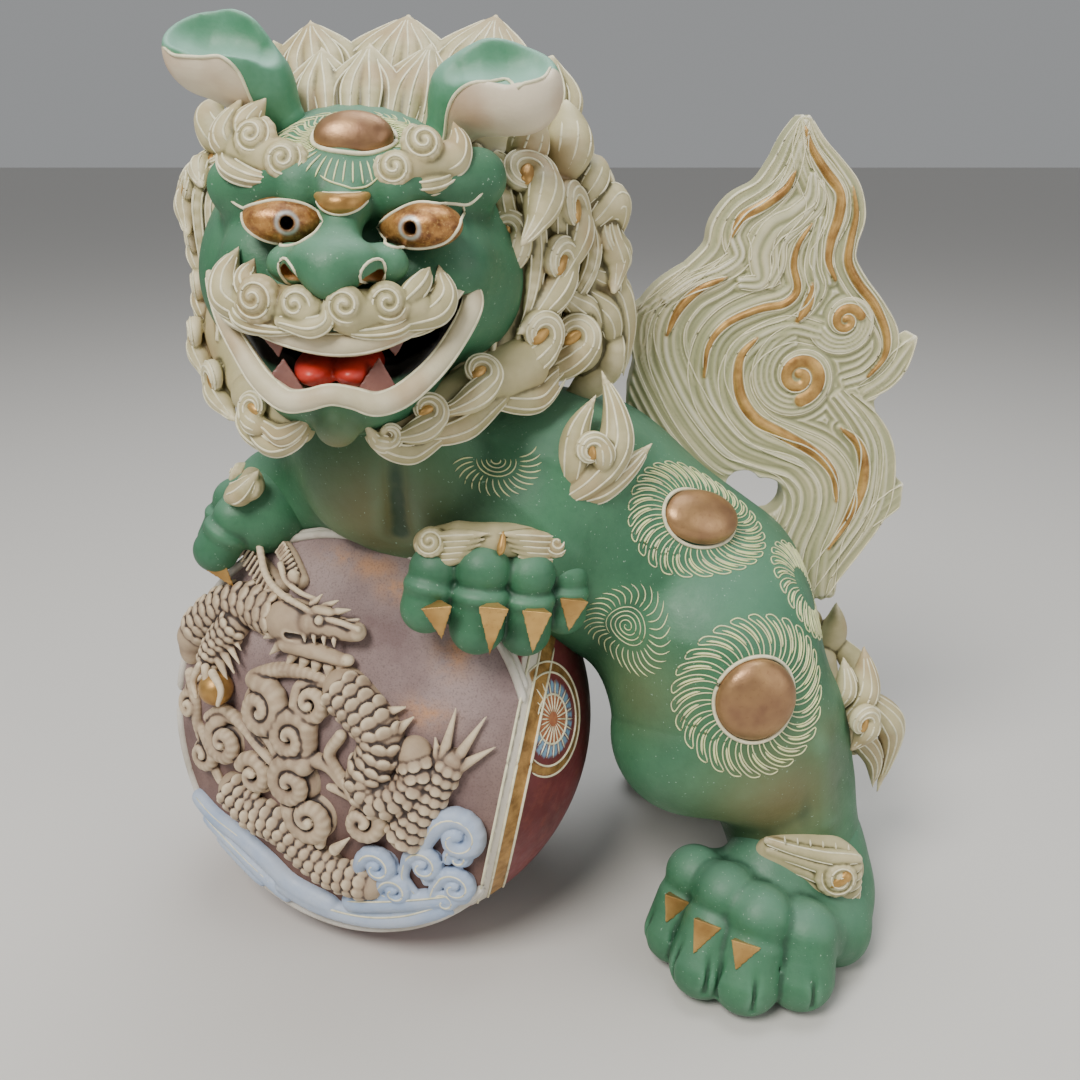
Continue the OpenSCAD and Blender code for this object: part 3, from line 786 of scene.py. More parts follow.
class Relief:
    """Clay with its raised lines and its gilt beads."""

    def __init__(self, clay, soft=0.6):
        self.clay = clay
        self.base = None
        self.soft = soft
        self.lines = Lines()
        self.beads = []

    def settle(self):
        """Remembers the ground form that curls are pressed onto."""
        self.base = self.clay.grid.copy()

    def ground(self, p):
        """Nearest ground point and its outward direction."""
        p = arr(*p)
        live = self.clay.grid
        self.clay.grid = self.base
        for _ in range(4):
            h = 1.5
            offsets = np.array([[h, 0, 0], [-h, 0, 0], [0, h, 0], [0, -h, 0], [0, 0, h], [0, 0, -h],
                                [0, 0, 0]])
            d = self.clay.sample(p + offsets)
            n = unit([d[0] - d[1], d[2] - d[3], d[4] - d[5] + 1e-9])
            p = p - n * d[6]
        self.clay.grid = live
        return p, n

    def stroke(self, path, width, normals, marks=(-55, 0, 55), line=0.4, thin=1.1, lift=0.1):
        """A tapering round stroke through 3-D points, with raised lines along it."""
        path = np.asarray(path, float)
        width = np.asarray(width, float)
        for i in range(len(path) - 1):
            self.clay.add(rod(path[i], path[i + 1], width[i], width[i + 1]), self.soft)
        t = np.gradient(path, axis=0)
        t /= np.linalg.norm(t, axis=1)[:, None] + 1e-9
        n = np.broadcast_to(np.asarray(normals, float), path.shape)
        n = n - (n * t).sum(1)[:, None] * t
        n = n / (np.linalg.norm(n, axis=1)[:, None] + 1e-9)
        s = np.cross(t, n)
        for mark in marks:
            a = math.radians(mark)
            keep = width > thin
            q = path + (width + lift)[:, None] * (math.sin(a) * s + math.cos(a) * n)
            if keep.sum() > 3:
                first, last = np.flatnonzero(keep)[[0, -1]]
                self.lines.add(curve_through(q[first:last + 1], 3), line)

    def bead(self, p, normal, angle, length, width, height, hand=1):
        x, y, n = tangent_frame(normal)
        a = math.radians(angle)
        u = math.cos(a) * x + math.sin(a) * y
        v = hand * (-math.sin(a) * x + math.cos(a) * y)
        points, faces = drop_mesh(length, width, height)
        if hand < 0:
            faces = faces[:, ::-1]
        self.beads.append((arr(*p) + points[:, :1] * u + points[:, 1:2] * v + points[:, 2:] * n, faces))

    def comma(self, p, aim, size, tail=2.4, hand=-1, turns=0.8, bend=40, back=0,
              marks=(-58, -20, 20, 58), lift=0.3, gold=True, drop=0.25, press=True, normal=None):
        """A scroll with its tail leaving along aim, in degrees, in the surface's own plane."""
        if press:
            p, n0 = self.ground(p)
            normal = n0 if normal is None else normal
            if normal[2] > 0.9999:
                # The spot has no ground under it, or no upright to take the aim from.
                return None
        x, y, n = tangent_frame(normal)
        total = turns * 2 * math.pi
        th = np.linspace(0, total, 18)
        k = th / total
        end = math.radians(aim - 90 * hand)
        ang = end - hand * (total - th)
        rad = size * (0.34 + 0.26 * k)
        px = list(rad * np.cos(ang))
        py = list(rad * np.sin(ang))
        width = list(size * (0.14 + 0.30 * k ** 0.8))
        high = list(size * (lift + 0.1 - 0.1 * k))
        steps = 13
        step = tail * size / steps
        for i in range(1, steps + 1):
            s = i / steps
            head = math.radians(aim + hand * (bend * s - back * s * s))
            px.append(px[-1] + step * math.cos(head))
            py.append(py[-1] + step * math.sin(head))
            swell = 0.44 + 0.16 * math.sin(math.pi * min(s * 1.6, 1))
            width.append(size * (swell * (1 - s ** 2.2) + 0.04))
            high.append(size * (lift - drop * s))
        path = np.array([arr(*p) + a * x + b * y + c * n for a, b, c in zip(px, py, high)])
        self.stroke(path, width, n, marks)
        if gold:
            self.bead(arr(*p) + n * size * (lift + 0.1), n, aim + 180, size * 0.56, size * 0.34,
                      size * 0.36, hand)
        else:
            self.clay.add(ball(arr(*p) + n * size * lift * 0.7, size * 0.3), self.soft)
        return path

    def leaf(self, points, width, normal, marks=(-55, 0, 55), peak=0.35, line=0.4, taper=1.7):
        """A pointed leaf through a few points; width is its widest half."""
        path = curve_through(points, 6)
        s = np.linspace(0, 1, len(path))
        w = width * np.where(s < peak, 0.55 + 0.45 * s / peak, (1 - ((s - peak) / (1 - peak)) ** taper))
        w = np.maximum(w, 0.35)
        self.stroke(path, w, unit(normal), marks, line)

    def volute(self, p, normal, size, start=0, hand=1, turns=1.6, marks=(0,), dome=0.8):
        """A round scroll that spirals up to its middle."""
        x, y, n = tangent_frame(normal)
        self.clay.add(egg_along(arr(*p), n, size * 0.9, size * 0.55), self.soft)
        total = turns * 2 * math.pi
        th = np.linspace(0, total, int(12 * turns) + 6)
        k = th / total
        ang = math.radians(start) + hand * th
        rad = size * (0.80 - 0.68 * k)
        w = size * (0.24 - 0.06 * k)
        high = size * (0.1 + dome * 0.5 * k ** 0.7)
        path = np.array([arr(*p) + r * (math.cos(a) * x + math.sin(a) * y) + h * n
                         for r, a, h in zip(rad, ang, high)])
        self.stroke(path, w, n, marks, 0.34, 0.5)

    def finish(self, name, material, nodes, slot, white, gold_material=None, white_slot=None,
               extra=None, least=60):
        obj = sculpt(name, self.clay, material, nodes, extra, least)
        self.lines.build(name + "_lines", white, white_slot or slot)
        if self.beads:
            points, faces, base = [], [], 0
            for p, f in self.beads:
                points.append(p)
                faces.append(f + base)
                base += len(p)
            make_piece(name + "_gilt", np.vstack(points), np.vstack(faces), gold_material)
        return obj


def egg_along(p, n, wide, deep):
    """Flattened ellipsoid whose short axis lies along n."""
    n = unit(n)
    big = max(wide, deep)

    def distance(x, y, z):
        dx, dy, dz = x - p[0], y - p[1], z - p[2]
        along = dx * n[0] + dy * n[1] + dz * n[2]
        out2 = np.maximum(dx * dx + dy * dy + dz * dz - along * along, 0)
        q = np.sqrt(out2 / wide ** 2 + along * along / deep ** 2)
        g = np.sqrt(out2 / wide ** 4 + along * along / deep ** 4)
        return q * (q - 1) / np.maximum(g, 1e-6)

    return p - big, p + big, distance


def smooth_run(run):
    """The run with its inner points eased towards their neighbours."""
    run = np.array(run)
    if len(run) < 5:
        return run
    out = run.copy()
    out[1:-1] = (run[:-2] + run[1:-1] * 2 + run[2:]) / 4
    return out


# ---------------------------------------------------------------- head

def head_clay():
    """Skull, cheeks, jaw, muzzle and nose."""
    clay = Clay((-128, -104, 196), (-18, 36, 306), 0.7)
    clay.add(ball((-75, -14, 254), 46))
    clay.add(ball((-97, -33, 247), 27), 14)
    clay.add(ball((-52, -35, 247), 27), 14)
    clay.add(egg((-73, -44, 274), (30, 26, 20)), 14)
    clay.add(egg((-76, -54, 240), (31, 26, 20)), 12)
    clay.add(egg((-77, -56, 221), (26, 23, 17)), 10)
    clay.add(rod((-106, -52, 275), (-85, -68, 275.5), 8.5, 8), 6)
    clay.add(rod((-59, -67, 275), (-38, -50, 277), 8, 8.5), 6)
    clay.add(rod((-73, -64, 279), (-72, -73, 271), 6.5, 5.5), 5)
    clay.add(egg((-98, -60, 256), (11, 10, 9)), 10)
    clay.add(egg((-46, -58, 254), (11, 10, 9)), 10)
    clay.cut(egg((-88.5, -84, 266.5), (13, 9, 6.5), (0, 0, 14)), 3)
    clay.cut(egg((-54, -82, 265.5), (13, 9, 6.5), (0, 0, -16)), 3)
    clay.add(rod((-73, -72, 270), (-73.5, -79, 261.5), 4.6, 6.4), 3.5)
    clay.add(egg((-74, -85, 257.6), (12.2, 9, 7.2)), 3)
    clay.add(ball((-75, -89, 254.6), 6.2), 3)
    clay.add(egg((-86, -79, 256.5), (7, 6.5, 5.6)), 2.5)
    clay.add(egg((-62, -79, 256.5), (7, 6.5, 5.6)), 2.5)
    clay.cut(rod((-84.5, -88, 252.5), (-86.5, -82, 257), 2.6, 2.0), 0.8)
    clay.cut(rod((-64.5, -87, 252.5), (-62.5, -82, 256.5), 2.6, 2.0), 0.8)
    clay.add(ball((-78, -74, 211), 6.5), 3)
    return clay


def nostril_gilt(points, normal):
    """1 inside the two nostrils."""
    out = np.zeros(len(points))
    for a, b in (((-84.5, -88, 252.5), (-86.5, -82, 257)), ((-64.5, -87, 252.5), (-62.5, -82, 256.5))):
        d = rod(a, b, 2.9, 2.3)[2](points[:, 0], points[:, 1], points[:, 2])
        out = np.maximum(out, np.clip(0.5 - d / 0.5, 0, 1))
    return out


MOUTH = [(-110, -64, 246, 1.5), (-103, -70, 239, 4), (-95, -74, 233.5, 6.5), (-84, -78, 230.5, 7.6),
         (-74, -80, 230.5, 7.2), (-63, -78, 231, 7.4), (-54, -74, 234, 6.8), (-46, -68, 239.5, 5.2),
         (-40.5, -62, 244.5, 3)]


def open_mouth(clay):
    """Carves the mouth back from the lip line."""
    for y in (-26, -12, 0, 14, 27):
        line = [(x, py + y, z, r * (0.92 if y > 0 else 1)) for x, py, z, r in MOUTH]
        chain(clay, line, 1.0, carve=True)


def mouth_shade(points, normal):
    """1 deep inside the mouth, 0 outside it."""
    d = np.full(len(points), 1e9)
    for a, b in zip(MOUTH[:-1], MOUTH[1:]):
        for y in (10, 20, 27):
            shape = rod((a[0], a[1] + y, a[2]), (b[0], b[1] + y, b[2]), a[3], b[3])
            d = np.minimum(d, shape[2](points[:, 0], points[:, 1], points[:, 2]))
    return np.clip(1.0 - (d - 1.2) / 1.2, 0, 1) * (points[:, 1] > -86)


def head_patch(points, normal):
    """Where brown is airbrushed on the head."""
    spots = [(-78, -78, 204, 9, 0.7), (-118, -40, 226, 14, 0.35), (-100, -38, 300, 10, 0.4)]
    out = np.zeros(len(points))
    for x, y, z, r, s in spots:
        d = np.linalg.norm(points - arr(x, y, z), axis=1) / r
        out = np.maximum(out, s * np.exp(-d * d))
    return out


def make_head(mats):
    """The head with its mouth cut open."""
    clay = head_clay()
    open_mouth(clay)
    masks = {"patch": head_patch, "inside": mouth_shade, "gold": nostril_gilt}
    return sculpt("head", clay, mats["green"], ("head_shell", "nose"), extra=masks)


def make_lips(mats):
    """Broad cream lower lip and the gum band under the moustache, edged with slip lines."""
    jaw = Relief(Clay((-122, -102, 204), (-28, -44, 258), 0.5), 0.8)
    low = [(-114, -61, 252, 1.0), (-112, -64, 247, 1.8), (-108, -70, 240, 2.4),
           (-102, -77, 232.5, 2.8), (-96, -83, 226, 3.1), (-89, -88, 221.8, 3.1),
           (-83, -90, 222, 2.8), (-76, -91, 223.8, 2.7), (-70, -90, 222.6, 2.8),
           (-64, -88.5, 220.6, 3.1), (-57, -84, 222.4, 3.2), (-49, -77, 228.5, 3.0),
           (-43, -70, 236, 3.0), (-39.5, -64, 242.5, 3.0), (-39.5, -61, 246.5, 2.6),
           (-42, -62, 249, 1.9)]
    path = curve_through(low, 5)
    jaw.stroke(path[:, :3], path[:, 3], (0, -1, 0.15), (-64, 64), 0.5)
    jaw.finish("lower_lip", mats["lip"], ("lower_jaw",), "cream_relief", mats["white"])
    gum = Relief(Clay((-112, -102, 226), (-34, -54, 258), 0.5), 0.8)
    up = [(-111, -64, 247.5, 1.0), (-103, -74, 242.5, 1.6), (-94, -82, 239.5, 2.2),
          (-83, -87, 237.4, 2.8), (-73, -88, 236.6, 3.1), (-64, -86, 237.2, 2.8),
          (-55, -80, 239.6, 2.2), (-47, -72, 243.8, 1.7), (-42, -64, 248.5, 1.3)]
    path = curve_through(up, 5)
    gum.stroke(path[:, :3], path[:, 3], (0, -1, 0.1), (-60, 50), 0.45)
    gum.finish("upper_gum", mats["lip"], ("upper_lip",), "cream_relief", mats["white"])


def pyramid(clay, root, point, r):
    """Three-sided tooth with soft edges."""
    root, point = arr(*root), arr(*point)
    axis = unit(point - root)
    x = unit(np.cross(axis, (0, 1, 0)))
    y = np.cross(axis, x)
    length = np.linalg.norm(point - root)
    slope = r / length
    planes = [math.cos(a) * x + math.sin(a) * y for a in (math.radians(t) for t in (90, 210, 330))]

    def distance(px, py, pz):
        dx, dy, dz = px - root[0], py - root[1], pz - root[2]
        t = dx * axis[0] + dy * axis[1] + dz * axis[2]
        d = -t - 1.0
        for p in planes:
            side = dx * p[0] + dy * p[1] + dz * p[2]
            d = np.maximum(d, (side - (length - t) * slope * 0.62) / math.sqrt(1 + slope * slope))
        return d

    big = length + r + 2
    clay.add((root - big, root + big, distance), 0)


def make_mouth(mats):
    """Fangs and tongue."""
    for name, teeth in (("upper_fangs",
                         [((-91.5, -81, 239.5), (-91, -83, 231)),
                          ((-59.5, -80, 239), (-59.5, -82, 231))]),
                        ("lower_fangs",
                         [((-90, -82.5, 224.5), (-89.5, -84, 233)),
                          ((-64, -83, 223.5), (-63.5, -84.5, 233.5))])):
        clay = Clay((-100, -100, 214), (-50, -72, 246), 0.4)
        for root, point in teeth:
            pyramid(clay, root, point, 6.4 if name == "lower_fangs" else 5.0)
        clay.grid += 0.25
        sculpt(name, clay, mats["fang"], (name,))
    clay = Clay((-94, -96, 214), (-58, -34, 242), 0.5)
    clay.add(egg((-82, -70, 227.6), (7.0, 18, 5.0)))
    clay.add(egg((-71.5, -70, 227.6), (7.0, 18, 5.0)), 1.4)
    sculpt("tongue", clay, mats["tongue"], ("tongue",))


def eye(mats, name, p, turn, tilt):
    """Gilt eyeball with a drilled pupil, between raised slip lids."""
    p = arr(*p)
    m = rotation((0, tilt, turn))
    clay = Clay(p - 17, p + 17, 0.4)
    clay.add(egg(p + m @ arr(0, 5.5, 0), (11.8, 8.4, 6.4), (0, tilt, turn)))
    clay.cut(rod(p + m @ arr(0, -9, 0), p + m @ arr(0, 3, 0), 1.75, 1.75))
    iris = p + m @ arr(0, -2.5, 0)

    def pupil(points, normal):
        d = np.linalg.norm(np.cross(points - iris, m @ arr(0, 1, 0)), axis=1)
        return np.clip(2.2 - d, 0, 1)

    def ring(points, normal):
        d = np.linalg.norm(np.cross(points - iris, m @ arr(0, 1, 0)), axis=1)
        return np.exp(-((d - 2.7) / 0.5) ** 2)

    return sculpt(name, clay, mats["eye"], (name,), {"inside": pupil, "ring": ring})


def eye_lids(mats, skin):
    """Slip outline round each eye, with the upper lid drawn out to a tail."""
    lines = Lines()
    left = [(-105.5, 271.5), (-101, 269.8), (-96, 271.4), (-89, 272.6), (-82, 271.2), (-77, 267.4)]
    left_low = [(-77, 267.4), (-80, 263.8), (-86, 261.4), (-93, 262.2), (-98, 265.4), (-99.6, 269.8)]
    right = [(-36, 273.5), (-40, 270.6), (-44.5, 271), (-52.5, 271.8), (-59, 269.4), (-65, 265)]
    right_low = [(-65, 265), (-60, 261.4), (-53, 260.2), (-45.6, 261.8), (-41.6, 266), (-41.4, 270.4)]
    for points in (left, left_low, right, right_low):
        flat = curve_through([(x, -110, z) for x, z in points], 6)
        lines.add(skin.lay(flat, (0, 1, 0), 0.1), 0.5)
    for x, lean in ((-85.5, 0.4), (-63.5, -0.4)):
        loop = []
        for k in range(19):
            a = 2 * math.pi * k / 18
            loop.append((x + 2.9 * math.cos(a) - lean * 2.2 * math.sin(a), -110,
                         254.8 + 3.9 * math.sin(a)))
        lines.add(skin.lay(loop, (0, 1, 0), 0.1), 0.42, 0)
    lines.build("eye_lid_lines", mats["white"], "green_glaze")


def make_face_curls(mats):
    """Moustache and brows: clusters of small scrolls with leaf tips."""
    white = mats["white"]
    fan = (-60, -20, 20, 60)
    left = Relief(Clay((-116, -106, 232), (-68, -58, 268), 0.5), 0.5)
    left.clay.add(rod((-101, -76, 246), (-81, -88, 245), 6.5, 6), 1)
    left.leaf([(-96, -82, 243), (-104, -77, 247), (-105.5, -74, 253), (-102.5, -70, 260)], 5.2,
              (-0.3, -1, 0.1), fan)
    left.leaf([(-92, -86, 246), (-98.5, -80, 252), (-97, -76, 257.5)], 3.4, (-0.2, -1, 0.2))
    left.leaf([(-106, -73, 250), (-105, -76, 244), (-97, -82, 240.5), (-84, -88, 240)], 3.0,
              (-0.2, -1, -0.3), fan)
    left.leaf([(-103, -77, 248), (-100, -82, 243), (-91, -87, 241), (-78, -91, 241)], 3.0,
              (-0.2, -1, -0.1), fan)
    left.volute((-94, -86, 248.5), (-0.25, -1, 0.15), 7.0, 200, 1, 1.9)
    left.volute((-83, -90, 247.5), (-0.1, -1, 0.1), 5.6, 250, 1, 1.7)
    left.leaf([(-88, -90, 243), (-80, -92, 242), (-75.5, -92, 244), (-76, -91, 249)], 3.0, (0, -1, 0))
    left.finish("moustache_left", mats["cream"], ("moustache_left",), "cream_relief", white)
    right = Relief(Clay((-80, -106, 230), (-36, -56, 264), 0.5), 0.5)
    right.clay.add(rod((-70, -88, 245), (-54, -80, 245), 6, 5.5), 1)
    right.leaf([(-57, -84, 242), (-50, -78, 244), (-46.5, -74, 248), (-48, -69, 255)], 5.2,
               (0.35, -1, 0.1), fan)
    right.leaf([(-58, -86, 246), (-52.5, -80, 251), (-50, -74, 255)], 3.2, (0.3, -1, 0.2))
    right.leaf([(-47, -70, 248), (-50, -75, 242), (-58, -82, 239.5), (-69, -88, 240)], 3.0,
               (0.3, -1, -0.3), fan)
    right.leaf([(-52, -80, 245), (-58, -85, 241.5), (-66, -89, 240.5), (-74, -91, 241)], 3.0,
               (0.1, -1, -0.1), fan)
    right.volute((-60.5, -86.5, 247.5), (0.25, -1, 0.15), 6.2, 340, -1, 1.8)
    right.volute((-70.5, -91, 247.5), (0.05, -1, 0.1), 5.8, 300, -1, 1.7)
    right.finish("moustache_right", mats["cream"], ("moustache_right",), "cream_relief", white)
    brow = Relief(Clay((-114, -90, 270), (-76, -46, 306), 0.5), 0.5)
    brow.clay.add(rod((-101, -58, 284), (-87, -67, 281), 7, 6), 1)
    brow.leaf([(-104, -60, 283), (-106, -58, 289), (-102, -55, 298)], 4.6, (-0.3, -1, 0.4), fan)
    brow.leaf([(-98, -60, 284), (-100, -58, 291), (-95, -56, 298)], 4.6, (-0.2, -1, 0.4), fan)
    brow.leaf([(-107, -55, 287), (-105, -61, 281), (-97, -67, 277.8), (-87, -72, 277.5)], 3.6,
              (-0.2, -1, 0), fan)
    brow.volute((-97, -63, 287.5), (-0.2, -1, 0.45), 6.6, 60, -1, 1.9)
    brow.volute((-88, -70, 282), (0, -1, 0.35), 6.2, 40, -1, 1.8)
    brow.finish("brow_left", mats["cream"], ("brow_left",), "cream_relief", white)
    brow = Relief(Clay((-70, -90, 264), (-32, -42, 302), 0.5), 0.5)
    brow.clay.add(rod((-57, -68, 279.5), (-45, -60, 282), 5.5, 5.5), 1)
    brow.leaf([(-52, -66, 279), (-45, -61, 281), (-42.5, -57, 286), (-44, -54, 292)], 4.6,
              (0.35, -1, 0.3), fan)
    brow.leaf([(-58, -70, 276.5), (-51, -68, 276), (-44.5, -62, 278), (-41.5, -57, 284)], 3.0,
              (0.2, -1, 0), fan)
    brow.volute((-58.5, -71, 280), (0, -1, 0.35), 5.8, 150, 1, 1.7)
    brow.volute((-51.5, -66, 286), (0.2, -1, 0.45), 6.2, 120, 1, 1.8)
    brow.finish("brow_right", mats["cream"], ("brow_right",), "cream_relief", white)


def oval_boss(mats, name, p, normal, rx, ry, high, node, rim=True, turn=0, skin=None):
    """Gilt cabochon in a slip rim."""
    x, y, n = tangent_frame(normal)
    a = math.radians(turn)
    x, y = math.cos(a) * x + math.sin(a) * y, -math.sin(a) * x + math.cos(a) * y
    points, faces = [], []
    rows, cols = 12, 48
    for i in range(rows + 1):
        s = math.sin(0.5 * math.pi * i / rows)
        h = high * (math.cos(0.5 * math.pi * i / rows) ** 0.8) - 1.5
        for k in range(cols):
            t = 2 * math.pi * k / cols
            points.append(arr(*p) + s * rx * math.cos(t) * x + s * ry * math.sin(t) * y + h * n)
    for i in range(rows):
        for k in range(cols):
            j = (k + 1) % cols
            faces.append((i * cols + k, (i + 1) * cols + k, (i + 1) * cols + j, i * cols + j))
    make_piece(name, points, faces, mats["boss"], (node,) if node else ())
    if rim:
        lines = Lines()
        t = np.linspace(0, 2 * math.pi, 60)
        ring = [arr(*p) + 1.04 * rx * math.cos(v) * x + 1.04 * ry * math.sin(v) * y for v in t]
        if skin is not None:
            ring = skin.lay(ring, -n, 0.25)
        lines.add(ring, 0.7, 0)
        lines.build(name + "_rim", mats["white"], "cream_relief")


# ---------------------------------------------------------------- ears

def ear_shape(clay, spine, scoops):
    """A cupped ear: a body, with a hollow pressed into it."""
    for a, b in zip(spine[:-1], spine[1:]):
        clay.add(rod(a[:3], b[:3], a[3], b[3]), 5)
    for a, b in zip(scoops[:-1], scoops[1:]):
        clay.cut(rod(a[:3], b[:3], a[3], b[3]), 2.5)


def above_rim(rim, slope=-0.38, front=-58):
    """Mask that is 1 above the rim line of an ear; the line drops towards the back."""
    xs = [p[0] for p in rim]
    zs = [p[1] for p in rim]

    def rule(points, normal):
        line = np.interp(points[:, 0], xs, zs) + slope * (points[:, 1] - front)
        return np.clip(0.5 - (points[:, 2] - line) / 0.6, 0, 1)

    return rule


def make_ears(mats):
    """Spoon ears: green hollow above, cream lobe below, white rim between."""
    left = Clay((-128, -76, 284), (-82, -20, 325), 0.55)
    ear_shape(left, [(-93, -44, 293, 6), (-99, -46, 302, 9), (-106, -49, 309, 11),
                     (-112, -51, 310, 11)],
              [(-95, -54, 312, 5), (-103, -56, 316, 7.5), (-110, -56, 317, 9), (-114, -56, 318, 8)])
    rim = [(-124, 314), (-121, 311), (-117, 307.5), (-110, 306.5), (-105, 307), (-101, 304),
           (-99, 298), (-96, 293), (-93, 288)]
    obj = sculpt("ear_left", left, mats["ear"], ("ear_left",), {"cream": above_rim(rim)})
    lines = Lines()
    skin = Skin(obj)
    for line in (rim[1:-1],):
        path = curve_through([(x, -110, z) for x, z in line], 6)
        lines.add(smooth_run(ear_line(skin, path)), 0.5)
    right = Clay((-56, -78, 280), (-10, -22, 316), 0.55)
    ear_shape(right, [(-46, -42, 290, 7), (-41, -44, 299, 9.5), (-33, -47, 301, 11.5),
                      (-25, -50, 300, 11.5)],
              [(-43, -56, 307, 4.5), (-36, -58, 310, 6.5), (-29, -58, 310, 8), (-23, -58, 312, 9)])
    rim = [(-49, 288), (-47, 292), (-45, 298), (-40, 301.4), (-30, 302), (-24, 300.5), (-19, 303),
           (-17, 307)]
    obj = sculpt("ear_right", right, mats["ear"], ("ear_right",),
                 {"cream": above_rim(rim)})
    skin = Skin(obj)
    path = curve_through([(x, -110, z) for x, z in rim], 6)
    lines.add(smooth_run(ear_line(skin, path)), 0.5)
    lines.build("ear_rims", mats["white"], "cream_relief")


def ear_line(skin, path):
    """The rim line laid on the ear's front, following the fall of the mask towards the back."""
    out = []
    for p in path:
        z = p[2]
        for _ in range(3):
            hit, normal = skin.shoot((p[0], -110, z), (0, 1, 0), 120)
            if hit is None:
                break
            z = p[2] - 0.38 * (hit[1] + 58)
        if hit is not None:
            out.append(hit + normal * 0.12)
    return out


# ---------------------------------------------------------------- mane and beard

def mane_base():
    """The rounded mass under the locks."""
    clay = Clay((-144, -62, 192), (17, 50, 327), 0.75)
    clay.add(egg((-62, 2, 254), (63, 36, 52)))
    clay.add(rod((-10, -10, 250), (-8, -14, 222), 11, 9), 6)
    clay.add(rod((-30, -20, 264), (-31, -24, 238), 17, 15), 6)
    clay.add(rod((-116, -14, 268), (-116, -16, 238), 13, 12), 6)
    clay.add(rod((-30, -26, 228), (-44, -40, 218), 13, 10), 6)
    clay.add(rod((-118, -22, 228), (-112, -34, 216), 11, 9), 6)
    return clay


def make_mane(mats):
    """Right, left, back and top locks over one base."""
    relief = Relief(mane_base(), 0.6)
    relief.settle()
    right_mane(relief)
    left_mane(relief)
    top_mane(relief)
    back_mane(relief)
    for centre, r in (((-75, -28, 254), 39.5), ((-76, -60, 243), 33)):
        relief.clay.cut(ball(centre, r), 0)
    relief.finish("mane", mats["cream"], ("mane_top", "mane_left", "mane_right", "mane_back"),
                  "cream_relief", mats["white"], mats["gold"], least=1500)


def comb(m, guides, radius=3.4, marks=(-55, 0, 55)):
    """Locks pressed onto the ground along front-view guides given as (x, y, z) points."""
    for guide in guides:
        path, normals = [], []
        for p in curve_through(guide, 5):
            q, n = m.ground(p)
            path.append(q + 0.6 * n)
            normals.append(n)
        s = np.linspace(0, 1, len(path))
        width = radius * (0.45 + 0.55 * np.sin(math.pi * np.minimum(s * 1.25, 1)) ** 0.7) * (1 - 0.5
                * s ** 3)
        m.stroke(path, width, np.array(normals), marks, 0.34)


def right_mane(m):
    """Locks, then the big scrolls with gilt hearts, flowing down from the ear to the beard."""
    locks = []
    for k in range(8):
        top = 292 - 1.5 * k
        locks.append([(-42 + 5.5 * k, -40 + 5 * k, top), (-38 + 6.2 * k, -42 + 5 * k, 275 - k),
                      (-35 + 6.0 * k, -44 + 5.5 * k, 256), (-37 + 5.6 * k, -44 + 5.2 * k, 238),
                      (-42 + 5.4 * k, -46 + 5 * k, 223)])
    comb(m, locks, 3.6)
    for centre, aim, size, tail in (((-23, -38, 280), 262, 10, 2.5), ((-11, -26, 267), 250, 10, 2.6),
                                    ((-16, -32, 252), 240, 9.5, 3.0), ((-20, -40, 231), 225, 9, 2.9),
                                    ((-8, -27, 228), 225, 9, 3.0), ((-1, -12, 255), 255, 8, 2.4),
                                    ((-30, -44, 262), 265, 7, 2.6)):
        m.comma(centre, aim, size, tail)
    fan = (-60, -20, 20, 60)
    m.leaf([(-14, -18, 276), (-11, -18, 284), (-11, -14, 291), (-12, -10, 299)], 7.5,
           (0.6, -0.75, 0.2), fan)
    m.leaf([(-26, -26, 280), (-23, -26, 287), (-21, -23, 294)], 6.5, (0.3, -0.9, 0.2), fan)
    m.leaf([(-8, -16, 268), (-3, -12, 276), (-2, -9, 282)], 6, (0.7, -0.7, 0.2), fan)
    m.leaf([(-4, -15, 262), (2, -11, 268), (4, -7, 262), (3, -4, 252)], 6.5, (0.75, -0.6, 0.2), fan)
    m.leaf([(-4, -15, 246), (2, -10, 242), (6, -7, 232), (8, -5, 222), (9, -4, 210)], 7.0,
           (0.75, -0.65, 0), fan)
    m.leaf([(-6, -18, 240), (0, -14, 234), (3, -11, 226), (1, -10, 217)], 6.0, (0.65, -0.75, 0), fan)
    m.leaf([(-12, -25, 240), (-5, -20, 234), (0, -16, 226)], 5.0, (0.6, -0.8, 0), fan)


def left_mane(m):
    """Locks beside the left cheek."""
    locks = [[(-106 - 4 * k, -38 + 5 * k, 286 - k), (-112 - 4 * k, -38 + 5 * k, 268),
              (-112 - 4 * k, -40 + 5 * k, 246),
              (-108 - 3.5 * k, -44 + 5 * k, 226)] for k in range(4)]
    comb(m, locks, 3.2)
    m.leaf([(-114, -20, 282), (-119, -18, 288), (-122, -16, 294), (-118, -12, 300)], 6,
           (-0.6, -0.75, 0.2))
    m.comma((-121, -20, 288), 290, 6.5, 2.2, 1)
    m.comma((-127, -18, 272), 285, 7, 2.4, 1)
    m.comma((-129, -16, 257), 285, 7, 2.4, 1)
    m.comma((-129, -18, 242), 290, 7, 2.4, 1)
    m.comma((-125, -24, 228), 295, 7, 2.4, 1)
    m.comma((-118, -36, 217), 300, 7, 2.4, 1)


def crest(m, left, right, tip, count=6, bulge=2.0, width=4.6, facing=(0, -0.9, 0.45)):
    """A pointed flame leaf: strands fan out of a wide root and run together at the tip."""
    left, right, tip = arr(*left), arr(*right), arr(*tip)
    for i in range(count):
        s = i / (count - 1) if count > 1 else 0.5
        root = left + (right - left) * s
        out = 2 * s - 1
        lift = 1 - out * out
        low = root * 0.6 + tip * 0.4 + arr(1.4 * bulge * out, -3.0 * lift, 1.0)
        high = root * 0.22 + tip * 0.78 + arr(0.35 * bulge * out, -1.5 * lift, 0)
        m.leaf([root + arr(0, -1.5 * lift, 0), low, high, tip], width, facing, (-50, 0, 50), 0.3,
               0.36, 1.3)


